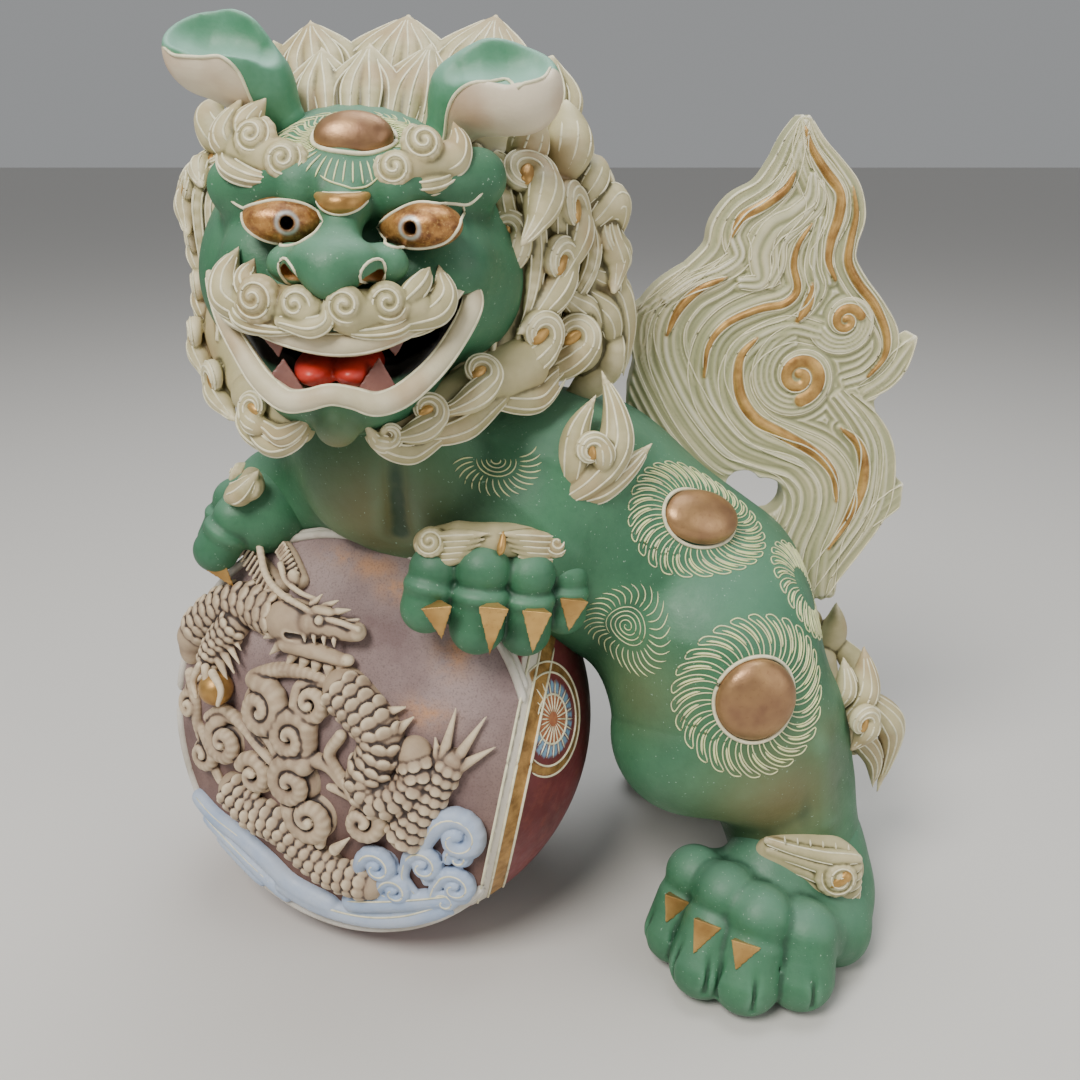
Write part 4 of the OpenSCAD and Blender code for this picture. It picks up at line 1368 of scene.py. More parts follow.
def top_mane(m):
    """Pointed crests along the crown, with lower swirls of hair in front of them."""
    crest(m, (-112, -8, 290), (-94, -10, 298), (-104, 0, 316), 4)
    crest(m, (-100, -10, 297), (-76, -10, 301), (-93, 5, 322), 5)
    crest(m, (-84, -10, 300), (-50, -10, 300), (-62, 7, 324), 7)
    crest(m, (-58, -10, 300), (-26, -8, 298), (-34, 7, 324), 7)
    crest(m, (-36, -10, 294), (-12, -4, 288), (-16, 2, 312), 5)
    crest(m, (-92, -36, 288), (-76, -40, 290), (-86, -16, 313), 4, 2.0, 4.4)
    crest(m, (-80, -40, 289), (-64, -40, 290), (-71, -18, 314), 4, 2.0, 4.4)
    crest(m, (-68, -40, 289), (-50, -38, 288), (-53, -16, 314), 5, 2.0, 4.4)
    crest(m, (-56, -34, 288), (-42, -30, 288), (-41, -12, 310), 3, 2.0, 4.2)


def back_mane(m):
    """Rows of commas flowing down the back of the head, where the mane falls to the shoulders."""
    for row, z in enumerate((303, 289, 275, 261, 247, 233, 220, 208)):
        count = (7, 9, 10, 10, 10, 10, 9, 8)[row]
        for i in range(count):
            t = (i + 0.5 * (row % 2) + 0.25) / count
            a = math.radians(-14 + 208 * t)
            p = (-62 + 70 * math.cos(a), 2 + 44 * math.sin(a), z)
            hand = -1 if t > 0.5 else 1
            edge = 0.15 < t < 0.85
            m.comma(p, 270 + 16 * hand, 12.0 if edge else 9.0, 2.2, hand, gold=(i + row) % 2 == 0)
    for i in range(6):
        a = math.radians(15 + 30 * i)
        m.comma((-62 + 36 * math.cos(a), 8 + 22 * math.sin(a), 318), 270, 11, 2.2, 1 if i < 3 else -1)


def make_beard(mats):
    """Locks along the jaw."""
    left = Relief(Clay((-120, -82, 194), (-80, -34, 226), 0.5), 0.5)
    left.clay.add(rod((-108, -48, 214), (-92, -62, 207), 7, 5))
    left.settle()
    left.comma((-105, -62, 213), 320, 6.2, 1.6, 1)
    left.leaf([(-108, -54, 209), (-104, -60, 204), (-98, -64, 202), (-90, -68, 206),
               (-86, -70, 213)], 3.6, (-0.2, -1, -0.3))
    left.leaf([(-102, -63, 208), (-96, -67, 206), (-90, -70, 209), (-86, -72, 213)], 3.2, (-0.1, -1, 0))
    left.leaf([(-111, -46, 212), (-110, -54, 206), (-104, -58, 201.5), (-96, -62, 200.5),
               (-91, -66, 202)], 3.0, (-0.3, -1, -0.4))
    left.finish("beard_left", mats["cream"], ("beard_left",), "cream_relief", mats["white"],
                mats["gold"])
    right = Relief(Clay((-78, -82, 193), (-14, -28, 236), 0.5), 0.5)
    chain(right.clay, [(-66, -64, 206, 5), (-54, -58, 209, 7), (-40, -48, 216, 8), (-26, -38, 221, 9)])
    right.settle()
    right.comma((-38, -56, 222), 225, 7.2, 3.0)
    right.comma((-53, -66, 213), 215, 6.6, 2.4)
    right.comma((-64, -70, 207), 180, 4.6, 1.6, gold=False)
    right.leaf([(-50, -62, 204), (-58, -66, 201), (-66, -70, 204), (-71, -72, 211)], 3.8,
               (0.1, -1, -0.2))
    right.leaf([(-14, -30, 216), (-22, -38, 211), (-34, -46, 213), (-44, -54, 217)], 5.4,
               (0.3, -1, -0.2), (-58, -20, 20, 58))
    right.leaf([(-32, -48, 213), (-42, -56, 207), (-52, -62, 205), (-60, -66, 206)], 4.6,
               (0.2, -1, -0.2))
    right.finish("beard_right", mats["cream"], ("beard_right",), "cream_relief", mats["white"],
                 mats["gold"])


# ---------------------------------------------------------------- tail

TAIL_Y = 16.0
TAIL_EDGE = [(16, 230), (32, 240), (41, 249), (45, 260), (57, 273), (63, 285), (69, 293), (79, 279),
             (88, 267), (91, 250), (104, 232), (110, 222), (111, 206), (104, 197), (110, 183),
             (112, 172), (114, 160), (108, 145), (98, 132), (86, 116), (66, 120), (60, 150),
             (30, 150), (10, 190)]


def outline_distance(points, x, z):
    """Signed distance to a closed outline, negative inside."""
    inside = np.zeros(np.broadcast(x, z).shape, bool)
    best = np.full(inside.shape, 1e9)
    for (x1, z1), (x2, z2) in zip(points, points[1:] + points[:1]):
        dx, dz = x2 - x1, z2 - z1
        t = np.clip(((x - x1) * dx + (z - z1) * dz) / (dx * dx + dz * dz), 0, 1)
        best = np.minimum(best, (x - x1 - t * dx) ** 2 + (z - z1 - t * dz) ** 2)
        cross = (z1 > z) != (z2 > z)
        slope = x1 + (z - z1) / (z2 - z1 if z2 != z1 else 1e-9) * dx
        inside ^= cross & (x < slope)
    best = np.sqrt(best)
    return np.where(inside, -best, best)


def sideways(path):
    """Unit vectors across a flat path."""
    t = np.gradient(path, axis=0)
    t /= np.linalg.norm(t, axis=1)[:, None] + 1e-9
    return np.stack([t[:, 1], -t[:, 0]], 1)


SLAB_LIFT = 6.1       # half thickness of the slab between the ribbons
GROOVE_GAP = 2.6      # spacing of the fine grooves between the ribbons


class Flame:
    """The tail: ribbons of parallel strands in low relief on a flame-shaped slab, alike on both faces."""

    def __init__(self):
        self.clay = Clay((4, 2, 108), (124, 30, 300), 0.5)
        self.edges = []
        self.gilt = []
        self.strands = []

    def strand(self, path, radius, thick):
        self.strands.append((path, radius, thick))

    def ribbon(self, points, count, width, start=1.0, end=1.0, thick=7.4, dome=2.0):
        path = curve_through(points, 6)
        side = sideways(path)
        s = np.linspace(0, 1, len(path))
        profile = np.where(s < 0.5, start + (1 - start) * np.sin(np.pi * s),
                           end + (1 - end) * np.sin(np.pi * s))
        step = width * profile / count
        for i in range(count):
            off = i - (count - 1) / 2
            high = thick - dome * (2 * off / max(count, 2)) ** 2
            self.strand(path + side * (off * step)[:, None], np.maximum(step * 0.74, 0.4), high)
        for off in (-count / 2, count / 2):
            self.edges.append(path + side * (off * step)[:, None])

    def gold(self, points, radius=2.0, thick=8.4):
        """A broad gilt strand, tapered at both ends, with a line along each side."""
        path = curve_through(points, 6)
        side = sideways(path)
        s = np.linspace(0, 1, len(path))
        width = radius * (0.2 + 0.8 * np.sin(math.pi * s) ** 0.6)
        self.strand(path, width, thick)
        self.gilt.append((path, width * 0.85))
        self.edges.append(path + side * width[:, None])
        self.edges.append(path - side * width[:, None])

    def spiral(self, x, z, radius, start, turns, count, gilt=False, thick=8.0):
        th = np.linspace(0, turns * 2 * math.pi, int(turns * 36))
        k = th / th[-1]
        mid = radius * (0.82 - 0.7 * k ** 0.85)
        ang = math.radians(start) + th
        width = radius * 0.7 / turns * (1 - 0.35 * k)
        for i in range(count):
            rad = mid + (i - (count - 1) / 2) / count * width
            line = np.stack([x + rad * np.cos(ang), z + rad * np.sin(ang)], 1)
            self.strand(line, width / count * 0.72, thick)
            if gilt:
                self.gilt.append((line, width / count * 0.5))
        rad = mid + width / 2
        self.edges.append(np.stack([x + rad * np.cos(ang), z + rad * np.sin(ang)], 1))

    def model(self, outline):
        smooth = [tuple(p) for p in curve_through(outline + outline[:1], 3)][:-1]
        low = arr(min(p[0] for p in outline), TAIL_Y - 9, min(p[1] for p in outline))
        high = arr(max(p[0] for p in outline), TAIL_Y + 9, max(p[1] for p in outline))

        def distance(x, y, z):
            xs, zs = x[:, 0, 0], z[0, 0, :]
            near = np.full((len(xs), len(zs)), 9.0)
            lift = np.zeros(near.shape)
            for path, radius, thick in self.strands:
                for i in range(len(path) - 1):
                    self.press(xs, zs, near, lift, path[i], path[i + 1], radius[i], radius[i + 1],
                               thick)
            slab = outline_distance(smooth, xs[:, None], zs[None, :]) + 2.0
            lift = np.maximum(lift, SLAB_LIFT + 0.5 * np.cos(near * 2 * math.pi / GROOVE_GAP))
            edge = np.minimum(near, slab)
            return -soft_min(lift[:, None, :] - np.abs(y - TAIL_Y), -edge[:, None, :], 1.8)

        self.clay.add((low, high, distance))

    def press(self, xs, zs, near, lift, a, b, r1, r2, thick):
        """One straight length of a strand: its ridge height, and how far each spot is from it."""
        reach = 9.0
        i = np.searchsorted(xs, (min(a[0], b[0]) - reach, max(a[0], b[0]) + reach))
        j = np.searchsorted(zs, (min(a[1], b[1]) - reach, max(a[1], b[1]) + reach))
        d = b - a
        px = xs[i[0]:i[1], None] - a[0]
        pz = zs[None, j[0]:j[1]] - a[1]
        t = np.clip((px * d[0] + pz * d[1]) / max(float(d @ d), 1e-9), 0, 1)
        gap = np.hypot(px - t * d[0], pz - t * d[1])
        r = r1 + t * (r2 - r1)
        part = (slice(i[0], i[1]), slice(j[0], j[1]))
        near[part] = np.minimum(near[part], gap - r)
        ridge = thick - np.minimum(1.9, 1.2 * r) * (gap / r) ** 2
        lift[part] = np.maximum(lift[part], np.where(gap < r, ridge, 0))

    def gilding(self, points, normal):
        out = np.zeros(len(points))
        flat = points[:, [0, 2]]
        for line, half in self.gilt:
            for i in range(len(line) - 1):
                a, b = line[i], line[i + 1]
                d = b - a
                near = np.flatnonzero(np.abs(flat - (a + b) / 2).max(1) < 6)
                if len(near) == 0:
                    continue
                q = flat[near] - a
                t = np.clip(q @ d / max(d @ d, 1e-9), 0, 1)
                gap = np.linalg.norm(q - t[:, None] * d, axis=1) - half[min(i, len(half) - 1)]
                out[near] = np.maximum(out[near], np.clip(0.5 - gap / 0.35, 0, 1))
        return out


def tail_ribbons(f):
    """Ribbons from the root up, then gilt strands, then spirals."""
    f.ribbon([(87, 122), (88, 142), (92, 158), (90, 169), (83, 177), (72, 182), (61, 187), (53, 196),
              (50, 206), (53, 215), (60, 221), (69, 224), (79, 222)], 4, 12, 1.2, 0.7, 7.8)
    f.ribbon([(79, 124), (80, 140), (84, 153), (84, 165), (77, 174), (67, 178), (55, 183), (45, 194),
              (40, 206), (41, 218), (47, 226), (57, 231), (66, 234), (70, 239), (68, 246), (69, 253),
              (74, 261), (74, 268), (69, 277), (67, 286), (68, 293)], 5, 13, 1.1, 0.25, 7.4)
    f.ribbon([(72, 130), (75, 145), (78, 156), (77, 164), (71, 170), (60, 173), (49, 178), (38, 190),
              (30, 203), (25, 216), (26, 227), (33, 236), (43, 241), (50, 246)], 5, 15, 0.9, 0.5,
             7.0)
    f.ribbon([(63, 138), (69, 150), (71, 158), (66, 166), (55, 170), (45, 174), (33, 187), (24, 201),
              (18, 214), (17, 226), (23, 236), (32, 243)], 4, 9, 0.8, 0.6, 6.4)
    f.ribbon([(24, 234), (33, 240), (43, 244), (49, 249), (47, 256), (50, 262), (57, 267), (63, 273),
              (66, 280), (68, 292)], 4, 9, 0.6, 0.25, 7.6)
    f.ribbon([(15, 230), (24, 236), (34, 244), (41, 251), (43, 259), (48, 266), (56, 271), (61, 279),
              (64, 287), (68, 294)], 3, 7, 0.5, 0.3, 6.6)
    f.ribbon([(50, 240), (57, 241), (56, 250), (60, 258), (67, 262), (72, 268), (72, 276)], 2, 8,
             0.5, 0.3, 8.4)
    f.ribbon([(60, 239), (63, 246), (63, 254), (69, 260), (75, 266), (75, 274)], 2, 5, 0.6, 0.3, 8.2)
    f.ribbon([(68, 293), (71, 284), (76, 277), (81, 270), (82, 262), (79, 254), (79, 247),
              (81, 240)], 3, 8, 0.25, 0.5, 7.8)
    f.ribbon([(69, 294), (74, 286), (81, 278), (86, 271), (88, 262), (86, 254), (86, 247), (91, 239),
              (98, 231), (104, 222), (104, 214), (98, 207), (90, 204)], 3, 7.5, 0.25, 0.6, 6.8)
    f.ribbon([(76, 262), (75, 252), (75, 244), (77, 238), (74, 231), (71, 227)], 3, 6, 0.5, 0.4, 7.8)
    f.ribbon([(88, 200), (96, 191), (102, 181), (103, 168), (101, 154), (95, 142), (88, 130),
              (86, 121)], 4, 9, 0.6, 1.1, 7.4)
    f.ribbon([(92, 199), (101, 191), (107, 181), (109, 169), (108, 156), (102, 144), (94, 131),
              (88, 121)], 3, 7, 0.6, 0.9, 6.4)
    f.ribbon([(97, 201), (104, 206), (109, 213), (114, 221)], 3, 9, 0.7, 0.1, 6.4)
    f.ribbon([(104, 151), (109, 156), (114, 161), (119, 167)], 3, 8, 0.7, 0.1, 6.0)
    f.spiral(73, 207, 18.5, 100, 1.5, 4, False, 7.6)
    f.spiral(88, 227, 12.5, 200, 1.3, 4, False, 7.4)
    f.gold([(57, 221), (52, 215), (51, 208), (53, 199), (59, 191), (70, 185), (82, 178), (89, 170),
            (91, 160)], 2.4)
    f.gold([(90, 188), (97, 182), (100, 174), (100, 164), (96, 152), (90, 141)], 2.2, 8.2)
    f.gold([(68, 291), (71, 284), (77, 276), (82, 270), (82, 262), (80, 254), (80, 247), (83, 241)],
           2.0)
    f.gold([(86, 272), (88, 263), (87, 254), (87, 247), (91, 240), (98, 232), (103, 222), (103, 214),
            (98, 207)], 1.8, 8)
    f.gold([(66, 277), (63, 271), (56, 266), (49, 262), (46, 256)], 1.9, 8.2)
    f.gold([(73, 260), (69, 253), (68, 246), (70, 238), (66, 233), (57, 231), (46, 226), (40, 218),
            (39, 207)], 1.6, 8.2)
    f.gold([(45, 242), (36, 238), (29, 231), (25, 222)], 1.7, 8)
    f.gold([(75, 240), (74, 232), (71, 227)], 1.8)
    f.spiral(73, 207, 10.5, 280, 1.5, 1, True, 8.8)
    f.spiral(88, 227, 6.5, 20, 1.3, 1, True, 8.6)


def tail_glaze():
    """Grey cream with painted shade darkening the recesses and painted highlight on the crests, with gilt
    where the mask says.
    """
    m = Nodes("tail_flame_glaze")
    base = m.mix(m.ramp(m.noise(40, 4, 0.6), 0.3, 0.7), srgb("cbc39c"), srgb("a4a57c"))
    cav = m.attribute("cavity")
    # Painted shade: recesses darkened by crease depth, the deepest darkest.
    base = m.mix(m.ramp(cav, 0.1, -0.12, 0, 0.7), base, srgb("959872"))
    base = m.mix(m.ramp(cav, -0.1, -0.5, 0, 0.85), base, srgb("62663f"))
    # Painted highlight: raised crests near white.
    base = m.mix(m.ramp(cav, 0.08, 0.3, 0, 0.6), base, srgb("efeada"))
    worn = m.mix(m.ramp(m.noise(120, 4, 0.6), 0.38, 0.66), srgb("cda562"), srgb("946c38"))
    gold = m.attribute("gold")
    m.colour(m.mix(gold, base, worn))
    m.put(m.bsdf, "Metallic", m.math("MULTIPLY", gold, 0.6))
    m.rough(m.ramp(m.noise(200, 3, 0.6), 0.3, 0.7, 0.42, 0.6))
    m.bump(m.noise(900, 3, 0.6), 0.2, 0.0004)
    return m.mat


def unbroken(hits):
    """Splits a row of surface hits wherever it misses or jumps."""
    runs = [[]]
    for hit, normal in hits:
        if hit is None or abs(normal[1]) < 0.35 or (runs[-1] and np.linalg.norm(hit
                - runs[-1][-1]) > 3):
            runs.append([])
        if hit is not None and abs(normal[1]) >= 0.35:
            runs[-1].append(hit + normal * 0.1)
    return [run for run in runs if len(run) > 5]


def make_tail(mats):
    """The flame tail with its opening and its raised lines."""
    flame = Flame()
    tail_ribbons(flame)
    flame.model(TAIL_EDGE)
    flame.clay.cut(rod((56, -10, 165), (56, 50, 165), 6.5, 6.5), 1)
    flame.clay.cut(rod((64, -10, 161), (64, 50, 161), 7.5, 7.5), 1)
    obj = sculpt("tail_flame", flame.clay, mats["tail"], ("tail_flame",),
                 {"gold": flame.gilding})
    skin = Skin(obj)
    lines = Lines(4)
    for edge in flame.edges:
        fine = curve_through(edge[::2], 3)
        for y, d in ((-20, 1), (52, -1)):
            for run in unbroken(skin.shoot((x, y, z), (0, d, 0), 60) for x, z in fine):
                lines.add(smooth_run(run), 0.3)
    lines.build("tail_flame_lines", mats["white"], "tail_flame_cream")


# ---------------------------------------------------------------- ball and its relief panel

BALL = arr(-80, -5, 78)
BALL_R = 80.0
PANEL_TURN = rotation((90 - 12, 0, 0))
PANEL_TURN = rotation((0, 0, -22)) @ PANEL_TURN
PANEL_H, PANEL_DOME, PANEL_CURVE = 30.4, 14.0, 202.6


def dome(x, y):
    """Height of the domed panel above its own plane."""
    return PANEL_H + PANEL_DOME - PANEL_CURVE + np.sqrt(PANEL_CURVE ** 2 - x * x - y * y)


def on(x, y, h=0.0):
    return arr(x, y, float(dome(x, y)) + h)


def from_panel(points):
    """Points from the panel frame to the working frame."""
    return np.asarray(points) @ PANEL_TURN.T + BALL


def panel_clay(voxel=0.55):
    """Empty clay in the panel frame."""
    return Clay((-76, -76, 22), (76, 76, 60), voxel)


def set_on_panel(name, clay, material, nodes, extra=None):
    points, quads = clay.mesh()
    cav, normal = cavity(points, quads)
    attributes = {"cavity": cav}
    for key, rule in (extra or {}).items():
        attributes[key] = rule(points, normal)
    make_piece(name, from_panel(points), quads, material, nodes, attributes=attributes)
    print("piece", name, len(quads), flush=True)


def tube(clay, points, r1, r2=None, high=0.0, soft=0.5, steps=5):
    """Round tube over the panel through (x, y) points."""
    r2 = r1 if r2 is None else r2
    path = curve_through([(p[0], p[1], p[2] if len(p) > 2 else high) for p in points], steps)
    n = len(path)
    for i in range(n - 1):
        a, b = path[i], path[i + 1]
        ra = r1 + (r2 - r1) * i / (n - 1)
        rb = r1 + (r2 - r1) * (i + 1) / (n - 1)
        clay.add(rod(on(a[0], a[1], a[2]), on(b[0], b[1], b[2]), ra, rb), soft)
    return path


def scaled(clay, points, r1, r2, high=0.5, gap=3.9, size=2.9):
    """A tube clad in rows of overlapping scales."""
    path = tube(clay, points, r1, r2, high, 0.8)
    length = np.concatenate([[0], np.cumsum(np.linalg.norm(np.diff(path[:, :2], axis=0), axis=1))])
    rows = int(length[-1] / gap)
    for k in range(rows + 1):
        s = k * gap
        x = np.interp(s, length, path[:, 0])
        y = np.interp(s, length, path[:, 1])
        x2 = np.interp(s + 0.5, length, path[:, 0])
        y2 = np.interp(s + 0.5, length, path[:, 1])
        t = unit((x2 - x + 1e-6, y2 - y, 0))
        side = arr(-t[1], t[0], 0)
        r = r1 + (r2 - r1) * s / max(length[-1], 1e-6)
        turns = (-76, -38, 0, 38, 76) if k % 2 else (-57, -19, 19, 57)
        for a in turns:
            c, q = math.cos(math.radians(a)), math.sin(math.radians(a))
            n = c * arr(0, 0, 1) + q * side
            p = on(x, y, high) + n * r * 0.97
            clay.add(egg_along(p, unit(n + 0.5 * t), size * r / 8 + 0.45, 1.3), 0.1)


def spike(clay, a, b, r=1.6, high=2.0, tip_high=2.0):
    """A short tapering horn on the panel relief."""
    clay.add(rod(on(a[0], a[1], high), on(b[0], b[1], tip_high), r, 0.35), 0.4)


def make_dragon(mats):
    """Head, neck, coils, claw and tail on the panel."""
    head = panel_clay()
    head.add(egg(on(-15, 42, 3), (12, 8.5, 7)), 1)
    head.add(rod(on(-6, 44, 4.5), on(9, 43, 4.5), 5.2, 3.6), 1.5)
    head.add(egg(on(11.5, 43.5, 5.5), (3.2, 3.4, 3.2)), 0.8)
    head.add(egg(on(-2, 48.5, 7), (5, 2.2, 2.4)), 0.6)
    head.add(ball(on(-1.5, 46, 9.2), 1.7), 0.2)
    head.add(rod(on(-16, 35, 3.5), on(7, 32.5, 3.5), 4.0, 2.4), 1)
    head.add(egg(on(8.5, 33, 4), (2.6, 2.2, 2.4)), 0.5)
    for a, b in (((-14, 38.6), (0, 37.4)), ((0, 37.4), (11, 38.8))):
        head.cut(rod(on(*a, 8), on(*b, 7), 1.5, 1.3), 0.4)
    for x in (-8, -4, 0, 4):
        spike(head, (x, 39.8), (x + 0.5, 37.2), 0.9, 7, 6.6)
    for a, b in (((-2, 50), (3, 53)), ((-7, 50), (-4, 54)), ((3, 49), (8, 50.5)), ((8, 46), (12, 48))):
        spike(head, a, b, 1.5, 6, 6)
    for a, b in (((-14, 31), (-17, 25)), ((-9, 30), (-11, 24.5)), ((-4, 29.5), (-5, 24)),
                 ((1, 29), (1.5, 24)), ((6, 30), (8, 25.5))):
        spike(head, a, b, 2.1, 2.5, 2)
    for a, b in (((-22, 46), (-31, 46)), ((-23, 42), (-32, 40)), ((-21, 38), (-28, 34)),
                 ((-18, 35), (-24, 29)), ((-20, 49), (-28, 51))):
        spike(head, a, b, 2.6, 4, 3)
    for points, r in (([(-26, 52), (-36, 58), (-45, 64)], 4.2),
                      ([(-17, 56), (-23, 63), (-28, 67)], 3.2)):
        path = tube(head, points, r, r * 0.7, 1.5)
        for i in range(1, len(path) - 1, 1):
            x, y = path[i][0], path[i][1]
            t = unit((*(path[i + 1][:2] - path[i - 1][:2]), 0))
            side = arr(-t[1], t[0], 0) * r * 0.8
            head.add(rod(on(x, y, r + 1.4) - side, on(x, y, r + 1.4) + side, 0.6, 0.6), 0.2)
    tube(head, [(-34, 66), (-28, 57), (-20, 52), (-10, 49), (-2, 46.8), (6, 46.2), (13, 45)], 1.3,
         1.1, 8, 0.3)
    tube(head, [(-24, 61), (-20, 56), (-13, 53), (-7, 52)], 1.2, 0.8, 6, 0.3)
    head.add(egg(on(-18, 57, 5), (2.4, 3.4, 1.8)), 0.5)
    set_on_panel("dragon_head", head, mats["bisque"], ("dragon_head",))
    body = panel_clay()
    scaled(body, [(-26, 43), (-38, 44), (-49, 41), (-59, 34), (-66, 26)], 8, 7, 0)
    scaled(body, [(-42, 36), (-49, 28), (-53, 20)], 5.5, 4.2, 3.5, 3.2)
    for a, b in (((-44, 34), (-37, 28)), ((-45, 31), (-37, 23)), ((-46, 27), (-39, 19)),
                 ((-47, 23), (-42, 15))):
        spike(body, a, b, 2.0, 5, 4)
    for points in ([(-53, 20), (-56, 14), (-54, 8)], [(-50, 20), (-49, 15), (-50, 9)],
                   [(-46, 19), (-41, 14), (-42, 8)]):
        tube(body, points, 1.6, 0.8, 9, 0.3)
    body.add(egg(on(-67, 22, 1), (5, 7, 4)), 1)
    scaled(body, [(8, 22), (17, 15), (23, 8), (22, 0), (18, -8), (23, -14), (32, -11), (37, -4),
                  (35, 4)], 8.2, 6.2, 1)
    scaled(body, [(33, -26), (39, -15), (44, -5), (48, 3)], 6.5, 4.8, 1)
    for a, b in (((45, 3), (48, 22)), ((49, 3), (58, 20)), ((50, 1), (62, 10)), ((44, 2), (42, 11))):
        spike(body, a, b, 2.4, 2.5, 2.0)
    scaled(body, [(-40, -27), (-30, -33), (-18, -35), (-8, -42), (3, -48), (18, -50)], 6.8, 6.2, 0)
    for a, b in (((24, 17), (31, 20)), ((29, 12), (34, 17)), ((29, 4), (35, 8)), ((27, -8), (31, -2)),
                 ((6, -38), (12, -32)), ((0, -37), (3, -30)), ((-30, -28), (-26, -22))):
        spike(body, a, b, 2.2, 2.5, 2)
    set_on_panel("dragon_body", body, mats["bisque"], ("dragon_body",))
    pearl = Clay((-56, 2, 36), (-38, 22, 60), 0.4)
    pearl.add(ball(on(-47, 12, 5), 6.3))
    set_on_panel("pearl", pearl, mats["gold"], ("pearl",))


def swirl(clay, x, y, size, start, hand=1, turns=1.6, high=2.5, thick=0.33, tail=(), lines=None,
          peak=2.5):
    """In-plane scroll; tail is a list of (x, y) points that lead into it."""
    th = np.linspace(0, turns * 2 * math.pi, int(turns * 12) + 4)
    k = th / th[-1]
    rad = size * (0.78 - 0.66 * k)
    ang = math.radians(start) + hand * th
    pts = [(x + r * math.cos(a), y + r * math.sin(a), high + peak * q) for r, a, q in zip(rad, ang, k)]
    width = [size * thick * (1 - 0.42 * q) for q in k]
    if len(tail):
        lead = curve_through([(p[0], p[1], high * 0.6) for p in tail] + [pts[0]], 5)[:-1]
        width = list(np.linspace(size * thick * 0.45, width[0], len(lead))) + width
        pts = [tuple(p) for p in lead] + pts
    clay.add(egg(on(x, y, 0), (size * 0.85, size * 0.85, high + 0.5)), 0.6)
    top = []
    for i in range(len(pts) - 1):
        a, b = pts[i], pts[i + 1]
        clay.add(rod(on(*a), on(*b), width[i], width[i + 1]), 0.35)
        top.append(on(a[0], a[1], a[2] + width[i] * 0.96))
    if lines is not None:
        lines.add(from_panel(curve_through(top, 2)), 0.4)


def make_clouds(mats):
    """Scrolled clouds between the coils."""
    clay = panel_clay()
    swirl(clay, -25, 9, 11.8, 100, -1, 1.4, 3, tail=[(4, 23), (-8, 25), (-20, 24), (-30, 19)])
    swirl(clay, -4, 16, 8.4, 200, 1, 1.2, 3, tail=[(8, 24), (-4, 22), (-10, 20)])
    swirl(clay, -65, 0, 6.2, 90, 1, 1.1, 1.5, tail=[(-60, 12), (-66, 8)])
    swirl(clay, -43, -8, 10.1, 120, 1, 1.3, 2.5, tail=[(-22, -4), (-32, 0), (-42, 2)])
    swirl(clay, -11, 2, 10.6, 40, 1, 1.3, 3.2, tail=[(-32, 4), (-22, -2), (-16, -7), (-6, -7)])
    swirl(clay, -56, -17, 7.3, 30, -1, 1.1, 1.8, tail=[(-64, -4), (-58, -8)])
    swirl(clay, -28, -17, 9.0, 160, -1, 1.2, 2.5)
    swirl(clay, -10, -15, 11.2, 60, 1, 1.3, 3.6, tail=[(10, -12), (4, -6), (-3, -5)])
    swirl(clay, -3, -27, 10.6, 180, 1, 1.3, 3.2, tail=[(-18, -14), (-14, -22)])
    swirl(clay, 18, -24, 9.0, 60, -1, 1.2, 2.6, tail=[(4, -14), (12, -15)])
    tube(clay, [(-66, 12), (-62, 2), (-60, -8), (-52, -20), (-48, -26)], 2.2, 1.4, 1.2)
    tube(clay, [(-52, -1), (-44, 4), (-34, 0), (-26, -6), (-20, -10)], 2.4, 1.6, 2.5)
    tube(clay, [(8, 6), (4, -2), (10, -10), (14, -16)], 2.2, 1.8, 2.2)
    set_on_panel("clouds", clay, mats["bisque"], ("clouds",))


def make_waves(mats):
    """Blue waves along the foot of the panel."""
    clay = panel_clay()
    lines = Lines()
    for points, r1, r2, h in (
            ([(-62, -38), (-52, -43), (-38, -47), (-26, -53), (-16, -60), (0, -64)], 3.4, 4.2, 0.4),
            ([(-58, -46), (-46, -52), (-34, -59), (-20, -67)], 2.6, 3.0, 0.4),
            ([(-52, -53), (-42, -59), (-32, -65)], 2.2, 2.4, 0.2),
            ([(-20, -62), (-4, -66), (14, -66), (30, -62), (44, -55)], 4.2, 4.0, 0.0),
            ([(10, -60), (22, -57), (36, -53), (52, -48)], 4.0, 3.6, 0.6)):
        path = tube(clay, points, r1, r2, h, 1.0)
        for side in (-0.45, 0.35):
            q = path.copy()
            q[:, 1] += side * r1
            lines.add(from_panel([on(x, y, z + r1 * 0.93) for x, y, z in q]), 0.34)
    for x, y, size, start, hand, tail in (
            (52, -24, 9.5, 150, -1, [(40, -44), (38, -34), (41, -26)]),
            (23, -41, 7.0, 160, -1, [(26, -54), (17, -50), (15, -44)]),
            (40, -37, 6.5, 150, -1, [(36, -50), (32, -44), (33, -38)]),
            (52, -32, 4.6, 200, -1, []),
            (51, -44, 6.5, 140, -1, [(48, -56), (42, -52), (43, -46)]),
            (29, -50, 5.8, 150, -1, [(36, -58), (24, -58), (22, -52)]),
            (47, -51, 4.2, 160, -1, []),
            (36, -28, 4.2, 160, -1, [])):
        swirl(clay, x, y, size * 1.15, start, hand, 1.15, 2.4, 0.36, tail, lines, 1.5)
    set_on_panel("waves", clay, mats["wave"], ("waves",))
    lines.build("wave_lines", mats["white"], "wave_blue")


